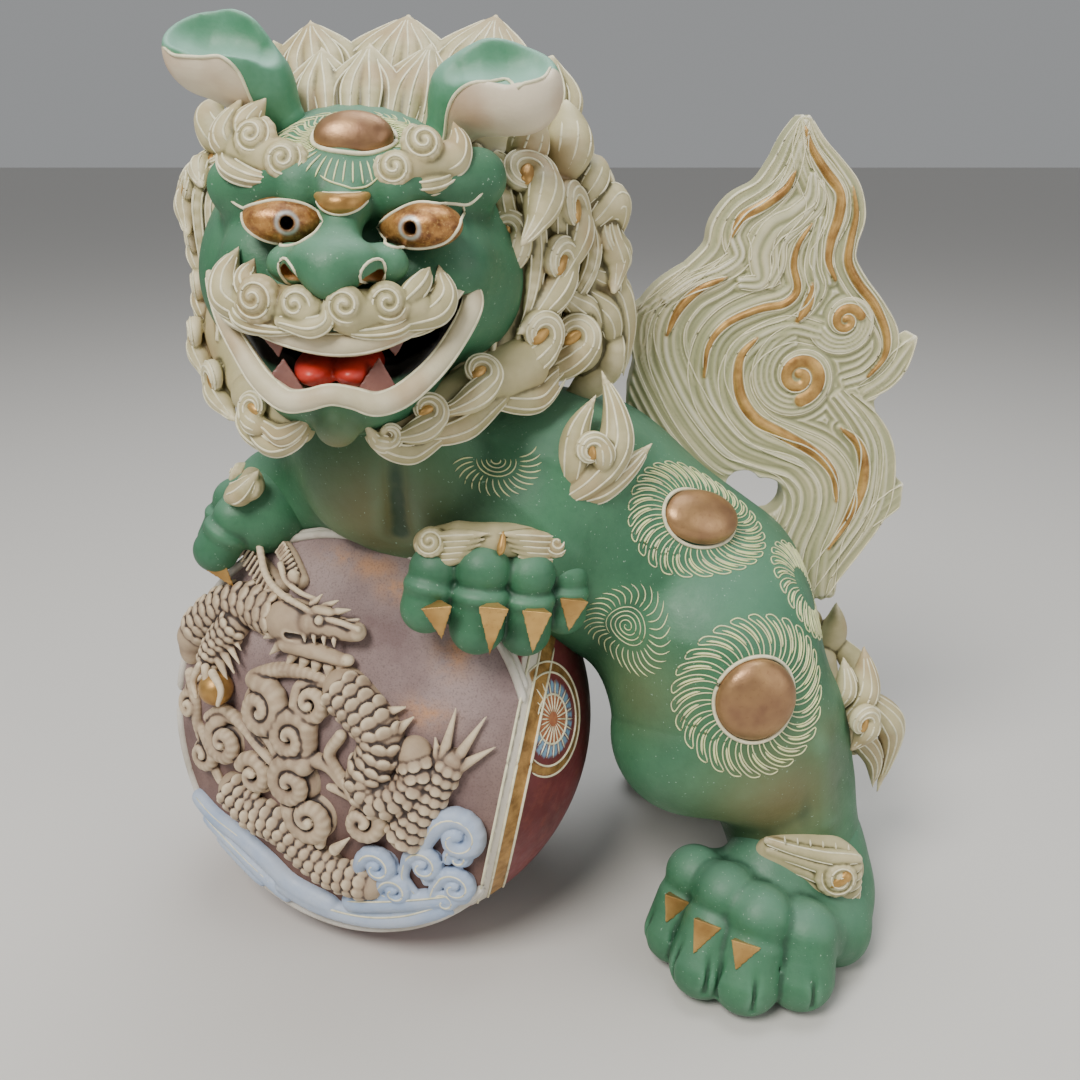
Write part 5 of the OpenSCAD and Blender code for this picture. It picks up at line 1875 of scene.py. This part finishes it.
def make_panel(mats):
    """The domed panel; its white rim is built with the ball."""
    clay = panel_clay()

    def lens(x, y, z):
        r = np.sqrt(x * x + y * y)
        h = PANEL_H + PANEL_DOME - PANEL_CURVE + np.sqrt(np.maximum(PANEL_CURVE ** 2 - r * r, 1))
        return np.maximum(np.maximum(z - h, r - 73.0), 24.0 - z)

    clay.add((arr(-74, -74, 23), arr(74, 74, 46), lens))

    def brushed(points, normal):
        out = np.zeros(len(points))
        for x, y, rx, ry in ((10, 64, 9, 4), (37, 18, 8, 5), (-3, 66, 8, 3), (44, 40, 6, 8),
                             (20, 58, 7, 4)):
            d = ((points[:, 0] - x) / rx) ** 2 + ((points[:, 1] - y) / ry) ** 2
            out = np.maximum(out, np.exp(-d))
        return out

    def low(points, normal):
        return np.clip((20 - points[:, 1]) / 70, 0, 1)

    set_on_panel("ball_panel", clay, mats["panel"], ("ball_panel",),
                 {"brushed": brushed, "low": low})


def panel_glaze():
    """Grey-mauve bisque that turns red-brown low down, with dry-brushed orange patches."""
    m = Nodes("panel_bisque")
    top = m.mix(m.ramp(m.noise(30, 4, 0.6), 0.35, 0.68), srgb("9a8784"), srgb("755f5e"))
    low = m.mix(m.ramp(m.noise(30, 4, 0.6), 0.35, 0.68), srgb("77574c"), srgb("573c34"))
    base = m.mix(m.attribute("low"), top, low)
    streak = m.math("MULTIPLY", m.attribute("brushed"), m.ramp(m.noise(130, 5, 0.7), 0.36, 0.6))
    base = m.mix(streak, base, srgb("b98a66"))
    base = m.mix(m.ramp(m.noise(1500, 2, 0.5), 0.5, 0.75, 0, 0.45), base, srgb("4c3a36"))
    m.colour(base)
    m.rough(m.ramp(m.noise(200, 3, 0.6), 0.3, 0.7, 0.55, 0.72))
    m.bump(m.noise(1300, 3, 0.7), 0.4, 0.0005)
    return m.mat


FLOWERS = [unit((65, -42, 21)), unit((40, 66, 14)), unit((-40, 66, 10)), unit((-76, 18, 16)),
           unit((6, 40, 66))]


def flower_masks(points):
    """Blue petals, orange heart, gilt ring round each flower on the ball."""
    rel = (points - BALL)
    rel = rel / (np.linalg.norm(rel, axis=1)[:, None] + 1e-9)
    blue = np.zeros(len(points))
    heart = np.zeros(len(points))
    ring = np.zeros(len(points))
    for axis in FLOWERS:
        x, y, n = tangent_frame(axis)
        r = BALL_R * np.arccos(np.clip(rel @ n, -1, 1))
        a = np.arctan2(rel @ y, rel @ x)
        ray = 0.5 + 0.5 * np.cos(22 * a)
        heart = np.maximum(heart, np.clip((8.5 - r) / 0.4, 0, 1) * (0.55 + 0.45 * ray))
        petal = np.clip((np.minimum(r - 8.8, 13.4 - r)) / 0.3, 0, 1)
        blue = np.maximum(blue, petal * np.clip((ray - 0.25) * 4, 0, 1))
        ring = np.maximum(ring, np.clip((1.7 - np.abs(r - 18.2)) / 0.3, 0, 1))
    clear = np.clip(((points - BALL) @ CHORD_WAY - 58) / 0.2, 0, 1)
    clear = np.maximum(clear, np.clip((25 - (points - BALL) @ PANEL_TURN[:, 2]) / 0.2, 0, 1))
    return blue * clear, heart * clear, ring * clear


def ball_glaze():
    m = Nodes("ball_red_glaze")
    base = m.mix(m.ramp(m.noise(26, 4, 0.6), 0.35, 0.68), srgb("7c3538"), srgb("5a2426"))
    base = m.mix(m.ramp(m.noise(260, 3, 0.6), 0.5, 0.75, 0, 0.5), base, srgb("8c4a3c"))
    base = m.mix(m.attribute("heart"), base, srgb("b0714c"))
    base = m.mix(m.attribute("blue"), base, srgb("7ba3bf"))
    gold = m.attribute("gold")
    worn = m.mix(m.ramp(m.noise(150, 4, 0.65), 0.38, 0.66), srgb("bf9356"), srgb("7d5a30"))
    base = m.mix(m.attribute("slip"), base, srgb("d2cabb"))
    m.colour(m.mix(gold, base, worn))
    m.put(m.bsdf, "Metallic", m.math("MULTIPLY", gold, 0.5))
    m.rough(m.ramp(m.noise(200, 3, 0.6), 0.3, 0.7, 0.38, 0.55))
    m.bump(m.noise(700, 3, 0.6), 0.2, 0.0005)
    return m.mat


CHORD = 50.2
CHORD_WAY = unit((0.979, -0.082, -0.188))


def chord_line(cut):
    """The arc where the ball's face meets a plane that stands cut mm from its middle."""
    x, y, n = tangent_frame(CHORD_WAY)
    r = math.sqrt((BALL_R - 0.1) ** 2 - cut * cut)
    ring = [BALL + cut * n + r * (math.cos(a) * x + math.sin(a) * y) for a in np.linspace(0,
            2 * math.pi, 240)]
    keep = [p[2] > 1.5 and (p - BALL) @ PANEL_TURN[:, 2] > 6 for p in ring]
    start = next(k for k in range(240) if keep[k] and not keep[k - 1])
    out = []
    for k in range(240):
        if not keep[(start + k) % 240]:
            break
        out.append(ring[(start + k) % 240])
    return out


def flower_run(points):
    """The part of a flower's line that is clear of the floor, the panel and the gilt band."""
    run = [p for p in points if p[2] > 1 and ((p - BALL) @ CHORD_WAY > 58.6 or (p
            - BALL) @ PANEL_TURN[:, 2] < 26)]
    return run if len(run) == len(points) or len(run) < 3 else longest_run(points, run)


def longest_run(points, kept):
    """The longest unbroken stretch of a closed ring whose points are all in kept."""
    marks = [any(p is q for q in kept) for p in points]
    best, now = [], []
    for k in range(2 * len(points)):
        if marks[k % len(points)]:
            now.append(points[k % len(points)])
        else:
            best, now = (now if len(now) > len(best) else best), []
    return best


def make_ball(mats):
    """The ball with its gilt band and its medallions."""
    clay = Clay(BALL - 82, BALL + 82, 1.1)
    clay.add(ball(BALL, BALL_R - 0.3))
    axis = PANEL_TURN[:, 2]

    def panel_side(x, y, z):
        high = (x - BALL[0]) * axis[0] + (y - BALL[1]) * axis[1] + (z - BALL[2]) * axis[2]
        across = sum((v - BALL[i]) * CHORD_WAY[i] for i, v in enumerate((x, y, z)))
        return np.maximum(PANEL_H - 2 - high, across - CHORD)

    clay.cut((BALL - 82, BALL + 82, panel_side), 0)
    clay.keep_above(0)
    cache = {}

    def mask(index):
        def rule(points, normal):
            if "m" not in cache:
                cache["m"] = flower_masks(points)
            out = cache["m"][min(index, 2)]
            across = (points - BALL) @ CHORD_WAY
            front = np.clip((points - BALL) @ axis / 0.3, 0, 1)
            if index == 2:
                band = np.clip((np.minimum(across - 53.5, 58.2 - across)) / 0.2, 0, 1)
                out = np.maximum(out, band * front)
            if index == 3:
                out = np.clip((np.minimum(across - 48.0, 53.5 - across)) / 0.2, 0, 1) * front
            return out
        return rule

    sculpt("ball", clay, mats["red"], ("ball_shell", "ball_flower"),
           {"blue": mask(0), "heart": mask(1), "gold": mask(2), "slip": mask(3)})
    lines = Lines()
    t = np.linspace(0, 2 * math.pi, 120)
    for axis2 in FLOWERS:
        x, y, n = tangent_frame(axis2)
        for r in (16.3, 20.1, 8.6):
            a = r / BALL_R
            ring = [BALL + (BALL_R - 0.2) * (math.cos(a) * n + math.sin(a)
                                             * (math.cos(v) * x + math.sin(v) * y)) for v in t]
            lines.add(flower_run(ring), 0.42)
        for k in range(22):
            v = 2 * math.pi * (k + 0.5) / 22
            spoke = [BALL + (BALL_R - 0.2) * (math.cos(s / BALL_R) * n + math.sin(s / BALL_R)
                     * (math.cos(v) * x + math.sin(v) * y)) for s in np.linspace(2.5, 13.6, 8)]
            lines.add(flower_run(spoke), 0.26)
    for cut in (CHORD, 53.5, 58.2):
        lines.add(chord_line(cut), 0.5)
    lines.build("ball_lines", mats["white"], "ball_red")
    rim = Lines(8)
    for r, high, thick in ((73.4, 0.2, 1.6), (74.4, -1.8, 1.5)):
        ring = from_panel([(r * math.cos(v), r * math.sin(v),
                            PANEL_H + high) for v in np.linspace(-3.1, 3.1, 240)])
        keep = [(p - BALL) @ CHORD_WAY < CHORD + 1.5 for p in ring]
        for half in (range(0, 120), range(239, 119, -1)):
            run = [ring[k] for k in half if keep[k]]
            rim.add(run, thick, 0)
    obj = rim.build("panel_rim", mats["rim"], "cream_relief")
    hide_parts("panel_rim")


# ---------------------------------------------------------------- paws and feet

def paw_digit(clay, knuckle, tip, r=8.0):
    """Knuckle, folded joint and toe, with creases left between them."""
    k, t = arr(*knuckle), arr(*tip)
    out = unit(t - k)
    mid = k + (t - k) * 0.42 + arr(0, -0.8, 0)
    clay.add(ball(k, r * 0.98), 2.2)
    clay.add(egg_along(mid, out, r * 1.04, r * 0.5), 1.6)
    clay.add(rod(k + (t - k) * 0.55, t, r * 0.96, r * 0.98), 1.6)


def no_patch(points, normal):
    """No airbrushing."""
    return np.zeros(len(points))


def make_paws(mats):
    """Front paws and their claws."""
    near = Clay((-72, -82, 112), (2, -8, 172), 0.6)
    chain(near, [(-50, -38, 150, 13), (-36, -38, 150, 15), (-19, -30, 146, 13)], 6)
    for k, t, r in (((-54, -52, 157), (-57, -55, 145), 8.6),
                    ((-38.5, -54, 158), (-40.5, -57, 139), 9.2),
                    ((-23.5, -50, 154.5), (-25, -52, 135.5), 8.8),
                    ((-11.5, -41, 150.5), (-12, -43, 138), 7.8)):
        paw_digit(near, k, t, r)
    sculpt("paw_near", near, mats["green"], ("paw_near",), extra={"patch": no_patch})
    claws = Clay((-64, -82, 122), (-2, -40, 160), 0.35)
    for root, tip in (((-52, -66, 150), (-51, -67, 139)), ((-34.5, -66.5, 150), (-36, -68, 134)),
                      ((-21, -60.5, 146), (-22.5, -61.5, 131)), ((-9, -49.5, 145), (-10.5, -51, 134))):
        pyramid(claws, root, tip, 4.3)
    sculpt("claws_near", claws, mats["gold"], ("claws_near",))
    far = Clay((-154, -30, 126), (-106, 44, 182), 0.6)
    chain(far, [(-120, -2, 160, 16), (-121, 12, 160, 15)], 6)
    for k, t, r in (((-129, -10, 160), (-137, -11, 148), 9.0), ((-132, 3, 162), (-139, 2, 147), 9.4),
                    ((-131, 15, 160), (-137, 15, 146), 9.0), ((-127, 25, 156), (-133, 26, 144), 8.0)):
        paw_digit(far, k, t, r - 0.6)
    sculpt("paw_far", far, mats["green"], ("paw_far",))
    claws = Clay((-152, -26, 124), (-126, 40, 158), 0.35)
    for x, y, z in ((-136, -14, 143), (-138, 2, 142), (-136, 15, 141), (-132, 26, 140)):
        pyramid(claws, (x, y, z), (x + 5, y, z - 9), 3.4)
    sculpt("claws_far", claws, mats["gold"], ("claws_far",))


TOES = [((37, -47, 34), (30, -53, 13), 11.0), ((46, -59, 35), (38, -69, 12.5), 11.6),
        ((57, -68, 32), (52, -76, 12.5), 12.0), ((73, -69, 26), (71, -74, 12.5), 12.0)]


def foot_clay(side):
    """A hind foot with four toes and the grooves between them."""
    y = lambda v: MID + (v - MID) * side
    low, high = sorted((y(-94), y(-4)))
    clay = Clay((14, low, -1), (118, high, 66), 0.7)
    clay.add(rod((84, y(-34), 20), (64, y(-46), 21), 23, 21), 6)
    clay.add(rod((80, y(-28), 36), (66, y(-40), 34), 23, 16), 8)
    clay.add(rod((88, y(-52), 14), (86, y(-36), 16), 14, 18), 8)
    for knuckle, tip, r in TOES:
        k = arr(knuckle[0], y(knuckle[1]), knuckle[2])
        t = arr(tip[0], y(tip[1]), tip[2])
        back = k + arr(10, 10 * side, -8)
        clay.add(rod(back, k, r * 0.85, r * 0.9), 4)
        clay.add(ball(k, r * 0.93), 2.4)
        clay.add(rod(k + (t - k) * 0.45, t, r * 0.98, r * 1.04), 1.6)
        lean = unit(np.cross(t - k, arr(0, 0, 1)))
        front = unit(np.cross(lean, t - k))
        front = front if front[2] > 0 else -front
        for way in (-1, 1):
            a = k + (t - k) * 0.7 + (front * 0.93 + lean * 0.5 * way) * r * 1.06
            b = t + (front * 0.55 + lean * 0.5 * way + unit(t - k) * 0.55) * r * 1.1
            clay.cut(rod(a, b, 0.35, 0.6), 2.2)
    clay.keep_above(0)
    return clay


def make_feet(mats):
    """Hind feet and their claws."""
    for side, tag in ((1, "near"), (-1, "far")):
        y = lambda v: MID + (v - MID) * side
        obj = sculpt("hind_foot_" + tag, foot_clay(side), mats["green"], ("hind_foot_" + tag,))
        skin = Skin(obj)
        low, high = sorted((y(-96), y(-40)))
        claws = Clay((10, low, 4), (92, high, 54), 0.4)
        for knuckle, tip, _ in TOES[:3]:
            k = arr(knuckle[0], y(knuckle[1]), knuckle[2])
            t = arr(tip[0], y(tip[1]), tip[2])
            out = unit((-0.5, -0.7 * side, 0.55))
            a, _ = skin.shoot(k + (t - k) * 0.42 + out * 30, -out, 60)
            b, _ = skin.shoot(k + (t - k) * 0.86 + out * 30, -out, 60)
            pyramid(claws, a, b + out * 0.5, 4.8)
        sculpt("hind_claws_" + tag, claws, mats["gold"], ("hind_claws_" + tag,))


# ---------------------------------------------------------------- cuffs and flame tufts

def make_cuffs(mats):
    """Scrolled cuffs where the forelegs meet the paws."""
    cream, white, gold = mats["cream"], mats["white"], mats["gold"]
    cuff = Relief(Clay((-68, -70, 152), (-2, -24, 182), 0.5), 0.5)
    chain(cuff.clay, [(-56, -49, 165, 5), (-46, -51, 167, 6), (-35, -51, 167, 5.5),
                      (-24, -47, 165.5, 6), (-13, -41, 162, 5)], 1)
    for way in (-1, 1):
        for k in range(5):
            x0, x1 = (-54, -36 - 1.5 * k) if way < 0 else (-15, -33 + 1.5 * k)
            points = []
            for s in np.linspace(0, 1, 6):
                x = x0 + (x1 - x0) * s
                y = np.interp(x, (-56, -46, -35, -24, -13), (-54.5, -57, -57, -53, -46.5))
                top = np.interp(x, (-56, -46, -35, -24, -13), (166.5, 168.5, 168.5, 167, 163.5))
                points.append((x, y, top + 2.8 - 2.0 * k + 2.4 * s * s - 2.2 * s))
            cuff.leaf(points, 1.9, (0, -1, 0.4), (0,), 0.4, 0.32)
    cuff.volute((-54.5, -55, 168), (-0.1, -1, 0.4), 5.4, 200, 1, 1.9)
    cuff.volute((-15.5, -47, 164.5), (0.35, -1, 0.4), 5.2, 340, -1, 1.9)
    cuff.bead((-32, -57, 168), (0, -1, 0.4), 70, 4.0, 1.6, 1.6)
    cuff.finish("cuff_near", cream, ("cuff_near",), "cream_relief", white, gold)
    cuff = Relief(Clay((-140, -34, 158), (-104, 30, 192), 0.6), 0.5)
    cuff.clay.add(rod((-122, -12, 172), (-126, 18, 170), 5, 5), 1)
    cuff.leaf([(-128, -17, 170), (-123, -19, 173), (-117, -18, 180)], 4.5, (-0.3, -1, 0.5))
    cuff.volute((-121, -17, 174), (-0.3, -1, 0.5), 5.8, 200, 1, 1.6)
    cuff.volute((-130, 4, 172), (-1, 0, 0.6), 5.2, 200, 1, 1.6)
    cuff.finish("cuff_far", cream, ("cuff_far",), "cream_relief", white, gold)


def hock_flame(mats, tag, side):
    """Flame tuft standing off the back of the hock."""
    y = lambda v: MID + (v - MID) * side
    low, high = sorted((y(-36), y(14)))
    hock = Relief(Clay((84, low, 38), (128, high, 118), 0.6), 0.5)
    n = (0.45, -0.9 * side, 0)
    fan = (-50, -17, 17, 50)
    hock.clay.add(rod((96, y(-14), 86), (102, y(-10), 66), 6, 4), 1)
    hock.leaf([(93, y(-20), 82), (99, y(-19), 92), (101, y(-17), 100), (100, y(-15), 111)], 6.5, n, fan)
    hock.leaf([(90, y(-22), 90), (93, y(-21), 98), (92, y(-18), 108)], 4.5, n, fan)
    hock.leaf([(102, y(-18), 92), (111, y(-15), 82), (115, y(-13), 70), (113, y(-12), 46)], 6.0, n, fan)
    hock.leaf([(97, y(-18), 76), (103, y(-16), 72), (109, y(-14), 62), (111, y(-12), 48)], 5, n, fan)
    hock.settle()
    hock.comma((96, y(-27), 88), 265, 7.5, 1.9, -side, normal=n, press=False, lift=0.4)
    hock.finish("hock_flame_" + tag, mats["cream"], ("hock_flame_" + tag,), "cream_relief",
                mats["white"], mats["gold"])


def ankle_shell(mats, tag, side):
    """Shell-shaped ornament: arcs sweeping round a scroll, with short rays along the top."""
    y = lambda v: MID + (v - MID) * side
    low, high = sorted((y(-70), y(-36)))
    shell = Relief(Clay((52, low, 14), (108, high, 64), 0.5), 0.5)
    n = unit((0.1, -1 * side, 0.2))
    centre = arr(84, y(-51), 42)
    shell.clay.add(egg((78, y(-47.5), 39), (21, 8.5, 14), (0, 14, 0)), 1)
    for k in range(6):
        t = k / 5
        points = [centre + arr(-22 + 3.0 * t, 0, 9 - 19 * t),
                  centre + arr(-13 + 1.5 * t, 0, 7 - 19 * t), centre + arr(-2, 0, 5 - 23 * t),
                  centre + arr(8 + 2 * t, 0, 4 - 19 * t), centre + arr(11, 0, 2 - 8 * t)]
        points = [p + n * (4.0 - 0.009 * float((p - centre) @ (p - centre))) for p in points]
        shell.leaf(points, 2.7, n, (-50, 50), 0.55, 0.34)
    shell.volute(centre + n * 4.0 + arr(2, 0, -3), n, 8.2, 160, side, 1.9)
    shell.bead(centre + n * 8.4 + arr(2, 0, -3), n, 200, 4.5, 2.6, 1.8)
    for k in range(6):
        p = centre + n * 3.2 + arr(-17 + 4.6 * k, 0, 9.5 - 0.7 * k)
        q = p + arr(-0.6, 0, 3.6)
        shell.lines.add([p, (p + q) / 2, q], 0.4)
    shell.finish("ankle_shell_" + tag, mats["cream"], ("ankle_shell_" + tag,), "cream_relief",
                 mats["white"], mats["gold"])


def make_tufts(mats):
    """Cuffs over the forepaws and the flame tufts on shoulder, hock and ankle."""
    make_cuffs(mats)
    for side, tag in ((1, "near"), (-1, "far")):
        flame_on_shoulder(mats, tag, side)
        hock_flame(mats, tag, side)
        ankle_shell(mats, tag, side)


def flame_on_shoulder(mats, tag, side):
    """The flame tuft on one shoulder."""
    cream, white, gold = mats["cream"], mats["white"], mats["gold"]
    if side > 0:
        tuft = Relief(Clay((-22, -52, 170), (26, -18, 224), 0.5), 0.5)
        n = (0.35, -1, 0.1)
        tuft.leaf([(-12, -41, 178), (-4, -40, 184), (4, -37, 194), (4, -33, 205), (0, -29, 217)],
                  6.5, n, (-58, -20, 20, 58))
        tuft.leaf([(-12, -40, 177), (-2, -38, 180), (8, -35, 186), (17, -30, 193)], 5.5, n,
                  (-50, -17, 17, 50))
        tuft.leaf([(-10, -40, 182), (-9, -40, 190), (-8, -38, 200), (-2, -33, 210)], 5.5, n)
        tuft.settle()
        tuft.comma((-5, -43, 195), 290, 6.5, 1.8, -1, press=False, normal=n, lift=0.4)
    else:
        tuft = Relief(Clay((-22, 20, 168), (26, 64, 224), 0.5), 0.5)
        n = (0.2, 1, 0.1)
        tuft.leaf([(-12, 46, 172), (-4, 47, 176), (3, 46, 184), (3, 44, 192), (0, 42, 200)], 6.5, n,
                  (-58, -20, 20, 58))
        tuft.leaf([(-12, 45, 172), (-2, 46, 174), (8, 47, 178), (16, 46, 184)], 5.5, n,
                  (-50, -17, 17, 50))
        tuft.leaf([(-12, 46, 176), (-11, 46, 183), (-9, 45, 190), (-5, 44, 197)], 5.5, n)
        tuft.settle()
        tuft.comma((-5, 50, 186), 250, 6.5, 1.8, 1, press=False, normal=n, lift=0.4)
    tuft.finish("shoulder_flame_" + tag, cream, ("shoulder_flame_" + tag,), "cream_relief", white, gold)


# ---------------------------------------------------------------- slip-trailed rosettes

def petal_fringe(lines, skin, centre, normal, inner, outer, count, curl=16, squash=1.0, turn=0,
                 stroke=0.4):
    """A ring of curved looped petals, each with a filled stroke inside, laid on the skin."""
    x, y, n = tangent_frame(normal)
    a0 = math.radians(turn)
    x, y = math.cos(a0) * x + math.sin(a0) * y, -math.sin(a0) * x + math.cos(a0) * y

    def at(r, a):
        q = arr(*centre) + r * (math.cos(a) * x + squash * math.sin(a) * y)
        hit, nn = skin.shoot(q + n * 25, -n, 60)
        return None if hit is None else hit + nn * 0.12

    for i in range(count):
        a = 2 * math.pi * i / count
        half = math.pi / count * 0.72
        loop = []
        for s in np.linspace(0, 1, 6):
            loop.append((inner + (outer - inner) * s, a - half * (0.45 + 0.5 * s)
                         + math.radians(curl) * s * s))
        loop.append((outer + 0.7, a + math.radians(curl)))
        for s in np.linspace(1, 0, 6):
            loop.append((inner + (outer - inner) * s, a + half * (0.45 + 0.5 * s)
                         + math.radians(curl) * s * s))
        fine = curve_through([(r, b, 0) for r, b in loop], 3)
        lines.add(smooth_run([p for p in (at(r, b) for r, b, _ in fine) if p is not None]), 0.24, 0.1)
        fill = [at(inner + (outer - inner) * s, a + 0.2 * half + math.radians(curl) * s * s)
                for s in np.linspace(0.35, 0.93, 8)]
        lines.add([p for p in fill if p is not None], stroke)


def spiral_rosette(lines, skin, centre, normal, core, outer, count, wave=0.25):
    """A slip-trailed spiral ringed with strokes."""
    x, y, n = tangent_frame(normal)

    def at(r, a):
        hit, nn = skin.shoot(arr(*centre) + r * (math.cos(a) * x + math.sin(a) * y) + n * 20, -n, 50)
        return None if hit is None else hit + nn * 0.12

    spiral = [at(core * t, 2 * math.pi * 4.6 * t) for t in np.linspace(0.08, 1, 120)]
    lines.add([p for p in spiral if p is not None], 0.2)
    for i in range(count):
        a = 2 * math.pi * i / count
        ray = [at(core * 1.06 + (outer - core * 1.06) * s, a + wave * s - 0.12 * math.sin(math.pi * s))
               for s in np.linspace(0, 1, 9)]
        lines.add([p for p in ray if p is not None], 0.22)


def half_rosette(lines, skin, centre, normal, count=13):
    """A fan of strokes round one half of a centre."""
    x, y, n = tangent_frame(normal)

    def at(r, a):
        hit, nn = skin.shoot(arr(*centre) + r * (math.cos(a) * x + 0.8 * math.sin(a) * y) + n * 20,
                             -n, 60)
        return None if hit is None else hit + nn * 0.12

    for r in (1.5, 3.0, 4.6, 6.2):
        arc = [at(r, math.radians(t)) for t in range(175, 372, 12)]
        lines.add([p for p in arc if p is not None], 0.22)
    for i in range(count):
        a = math.radians(172 + i * 200 / (count - 1))
        ray = [at(7.4 + 6.6 * s, a + 0.22 * s * s) for s in np.linspace(0, 1, 8)]
        lines.add([p for p in ray if p is not None], 0.24)


def make_rosettes(mats):
    """Bosses, petal fringes and spirals on the body."""
    bodies = [PIECES[k] for k in ("torso", "hind_leg_near", "hind_leg_far", "foreleg_near",
                                  "foreleg_far")]
    skin = Skin(*bodies)
    lines = Lines()
    petal_fringe(lines, skin, (35.5, -25.2, 166), (0.36, -0.67, 0.65), 15.4, 28.5, 27, 18, 0.72, -14)
    petal_fringe(lines, skin, (52.5, -54, 111), (0.16, -0.98, 0.07), 15, 27, 26, 20)
    spiral_rosette(lines, skin, (10, -38, 131), (-0.17, -0.95, -0.26), 7.5, 15.5, 30)
    petal_fringe(lines, skin, (78, -22, 138), (0.78, -0.5, 0.38), 8, 18, 20, 16)
    half_rosette(lines, skin, (-34, -40, 190), (0.15, -0.98, 0.1), 17)
    petal_fringe(lines, skin, (52.5, 64, 111), (0.16, 0.98, 0.07), 15, 27, 26, 20)
    petal_fringe(lines, skin, (0, 46, 170), (-0.05, 0.9, 0.4), 9, 19, 24, 16, 0.9)
    spiral_rosette(lines, skin, (76, 26, 128), (0.85, 0.45, 0.3), 6, 13, 26)
    lines.build("slip_rosettes", mats["yellow"], "green_glaze")
    oval_boss(mats, "rump_boss", (35.5, -25.2, 166), (0.36, -0.67, 0.65), 14.5, 10, 6.5, "rump_boss",
              True, -14, skin)
    oval_boss(mats, "thigh_boss_near", (52.7, -55.6, 111), (0.16, -0.98, 0.07), 14, 14.6, 7,
              "thigh_boss_near", True, 0, skin)
    oval_boss(mats, "thigh_boss_far", (52.7, 65.6, 111), (0.16, 0.98, 0.07), 14, 14.6, 7,
              "thigh_boss_far", True, 0, skin)


def make_forehead(mats, skin):
    """Fine hair lines round the forehead boss and the comb of petals that runs down to the bridge."""
    lines = Lines()
    n = unit((0.05, -0.88, 0.48))
    x, y, _ = tangent_frame(n)
    centre = arr(-70.5, -63, 289)

    def at(r, a, squash=0.66):
        hit, nn = skin.shoot(centre + r * (math.cos(a) * x + squash * math.sin(a) * y) + n * 20, -n, 60)
        return None if hit is None else hit + nn * 0.12

    for i in range(84):
        a = 2 * math.pi * i / 84
        side = abs(math.cos(a))
        if math.sin(a) < -0.5:
            continue
        reach = 15.5 + 9 * side + 1.5 * math.sin(i * 2.3)
        ray = [at(11.4 + (reach - 11.4) * s,
                  a + 0.12 * math.sin(2.2 * math.pi * s)) for s in np.linspace(0, 1, 9)]
        lines.add([p for p in ray if p is not None], 0.24)
    for i in range(15):
        a = math.radians(208 + i * 9)
        bend = 0.2 * (7 - i) / 7
        ray = [at(11.8 + 8.5 * s, a + bend * s, 0.8) for s in np.linspace(0, 1, 8)]
        lines.add([p for p in ray if p is not None], 0.26)
    arc = [at(22.5 - 3.5 * abs(v), math.radians(270 + 26 * v), 0.8) for v in np.linspace(-1, 1, 17)]
    lines.add([p for p in arc if p is not None], 0.3)
    lines.build("forehead_lines", mats["yellow"], "green_glaze")
    bar = Relief(Clay((-88, -94, 262), (-56, -62, 284), 0.35), 0.4)
    path = curve_through([(-79, -110, 273.6), (-76, -110, 272.2), (-72.5, -110, 271.6),
                          (-69, -110, 272.2), (-66, -110, 273.6)], 5)
    path = np.array(skin.lay(path, (0, 1, 0), 0.2))
    s = np.linspace(0, 1, len(path))
    bar.stroke(path, 1.0 + 1.7 * np.sin(math.pi * s), (0, -1, 0.3), (-78, 78), 0.45)
    bar.finish("bridge_bar", mats["gold"], ("bridge_bar",), "gilt", mats["white"])


# ---------------------------------------------------------------- assembly

def build():
    """Everything, from the camera to the last slip line."""
    add_camera()
    add_lights()
    add_floor()
    mats = make_materials()
    split_body(body_clay(), mats["green"])
    head = make_head(mats)
    make_lips(mats)
    make_mouth(mats)
    eye(mats, "eye_left", (-87.3, -77, 267), 14, 3)
    eye(mats, "eye_right", (-53.8, -76, 265.6), -16, -3)
    eye_lids(mats, Skin(head, PIECES["eye_left"], PIECES["eye_right"]))
    make_face_curls(mats)
    make_forehead(mats, Skin(head))
    oval_boss(mats, "forehead_boss", (-70.5, -63, 289), (0.05, -0.88, 0.48), 10.9, 6.8, 5.5,
              "forehead_boss", skin=Skin(head))
    make_ears(mats)
    make_mane(mats)
    make_beard(mats)
    make_tail(mats)
    make_panel(mats)
    make_dragon(mats)
    make_clouds(mats)
    make_waves(mats)
    make_ball(mats)
    make_paws(mats)
    make_feet(mats)
    make_tufts(mats)
    make_rosettes(mats)


build()
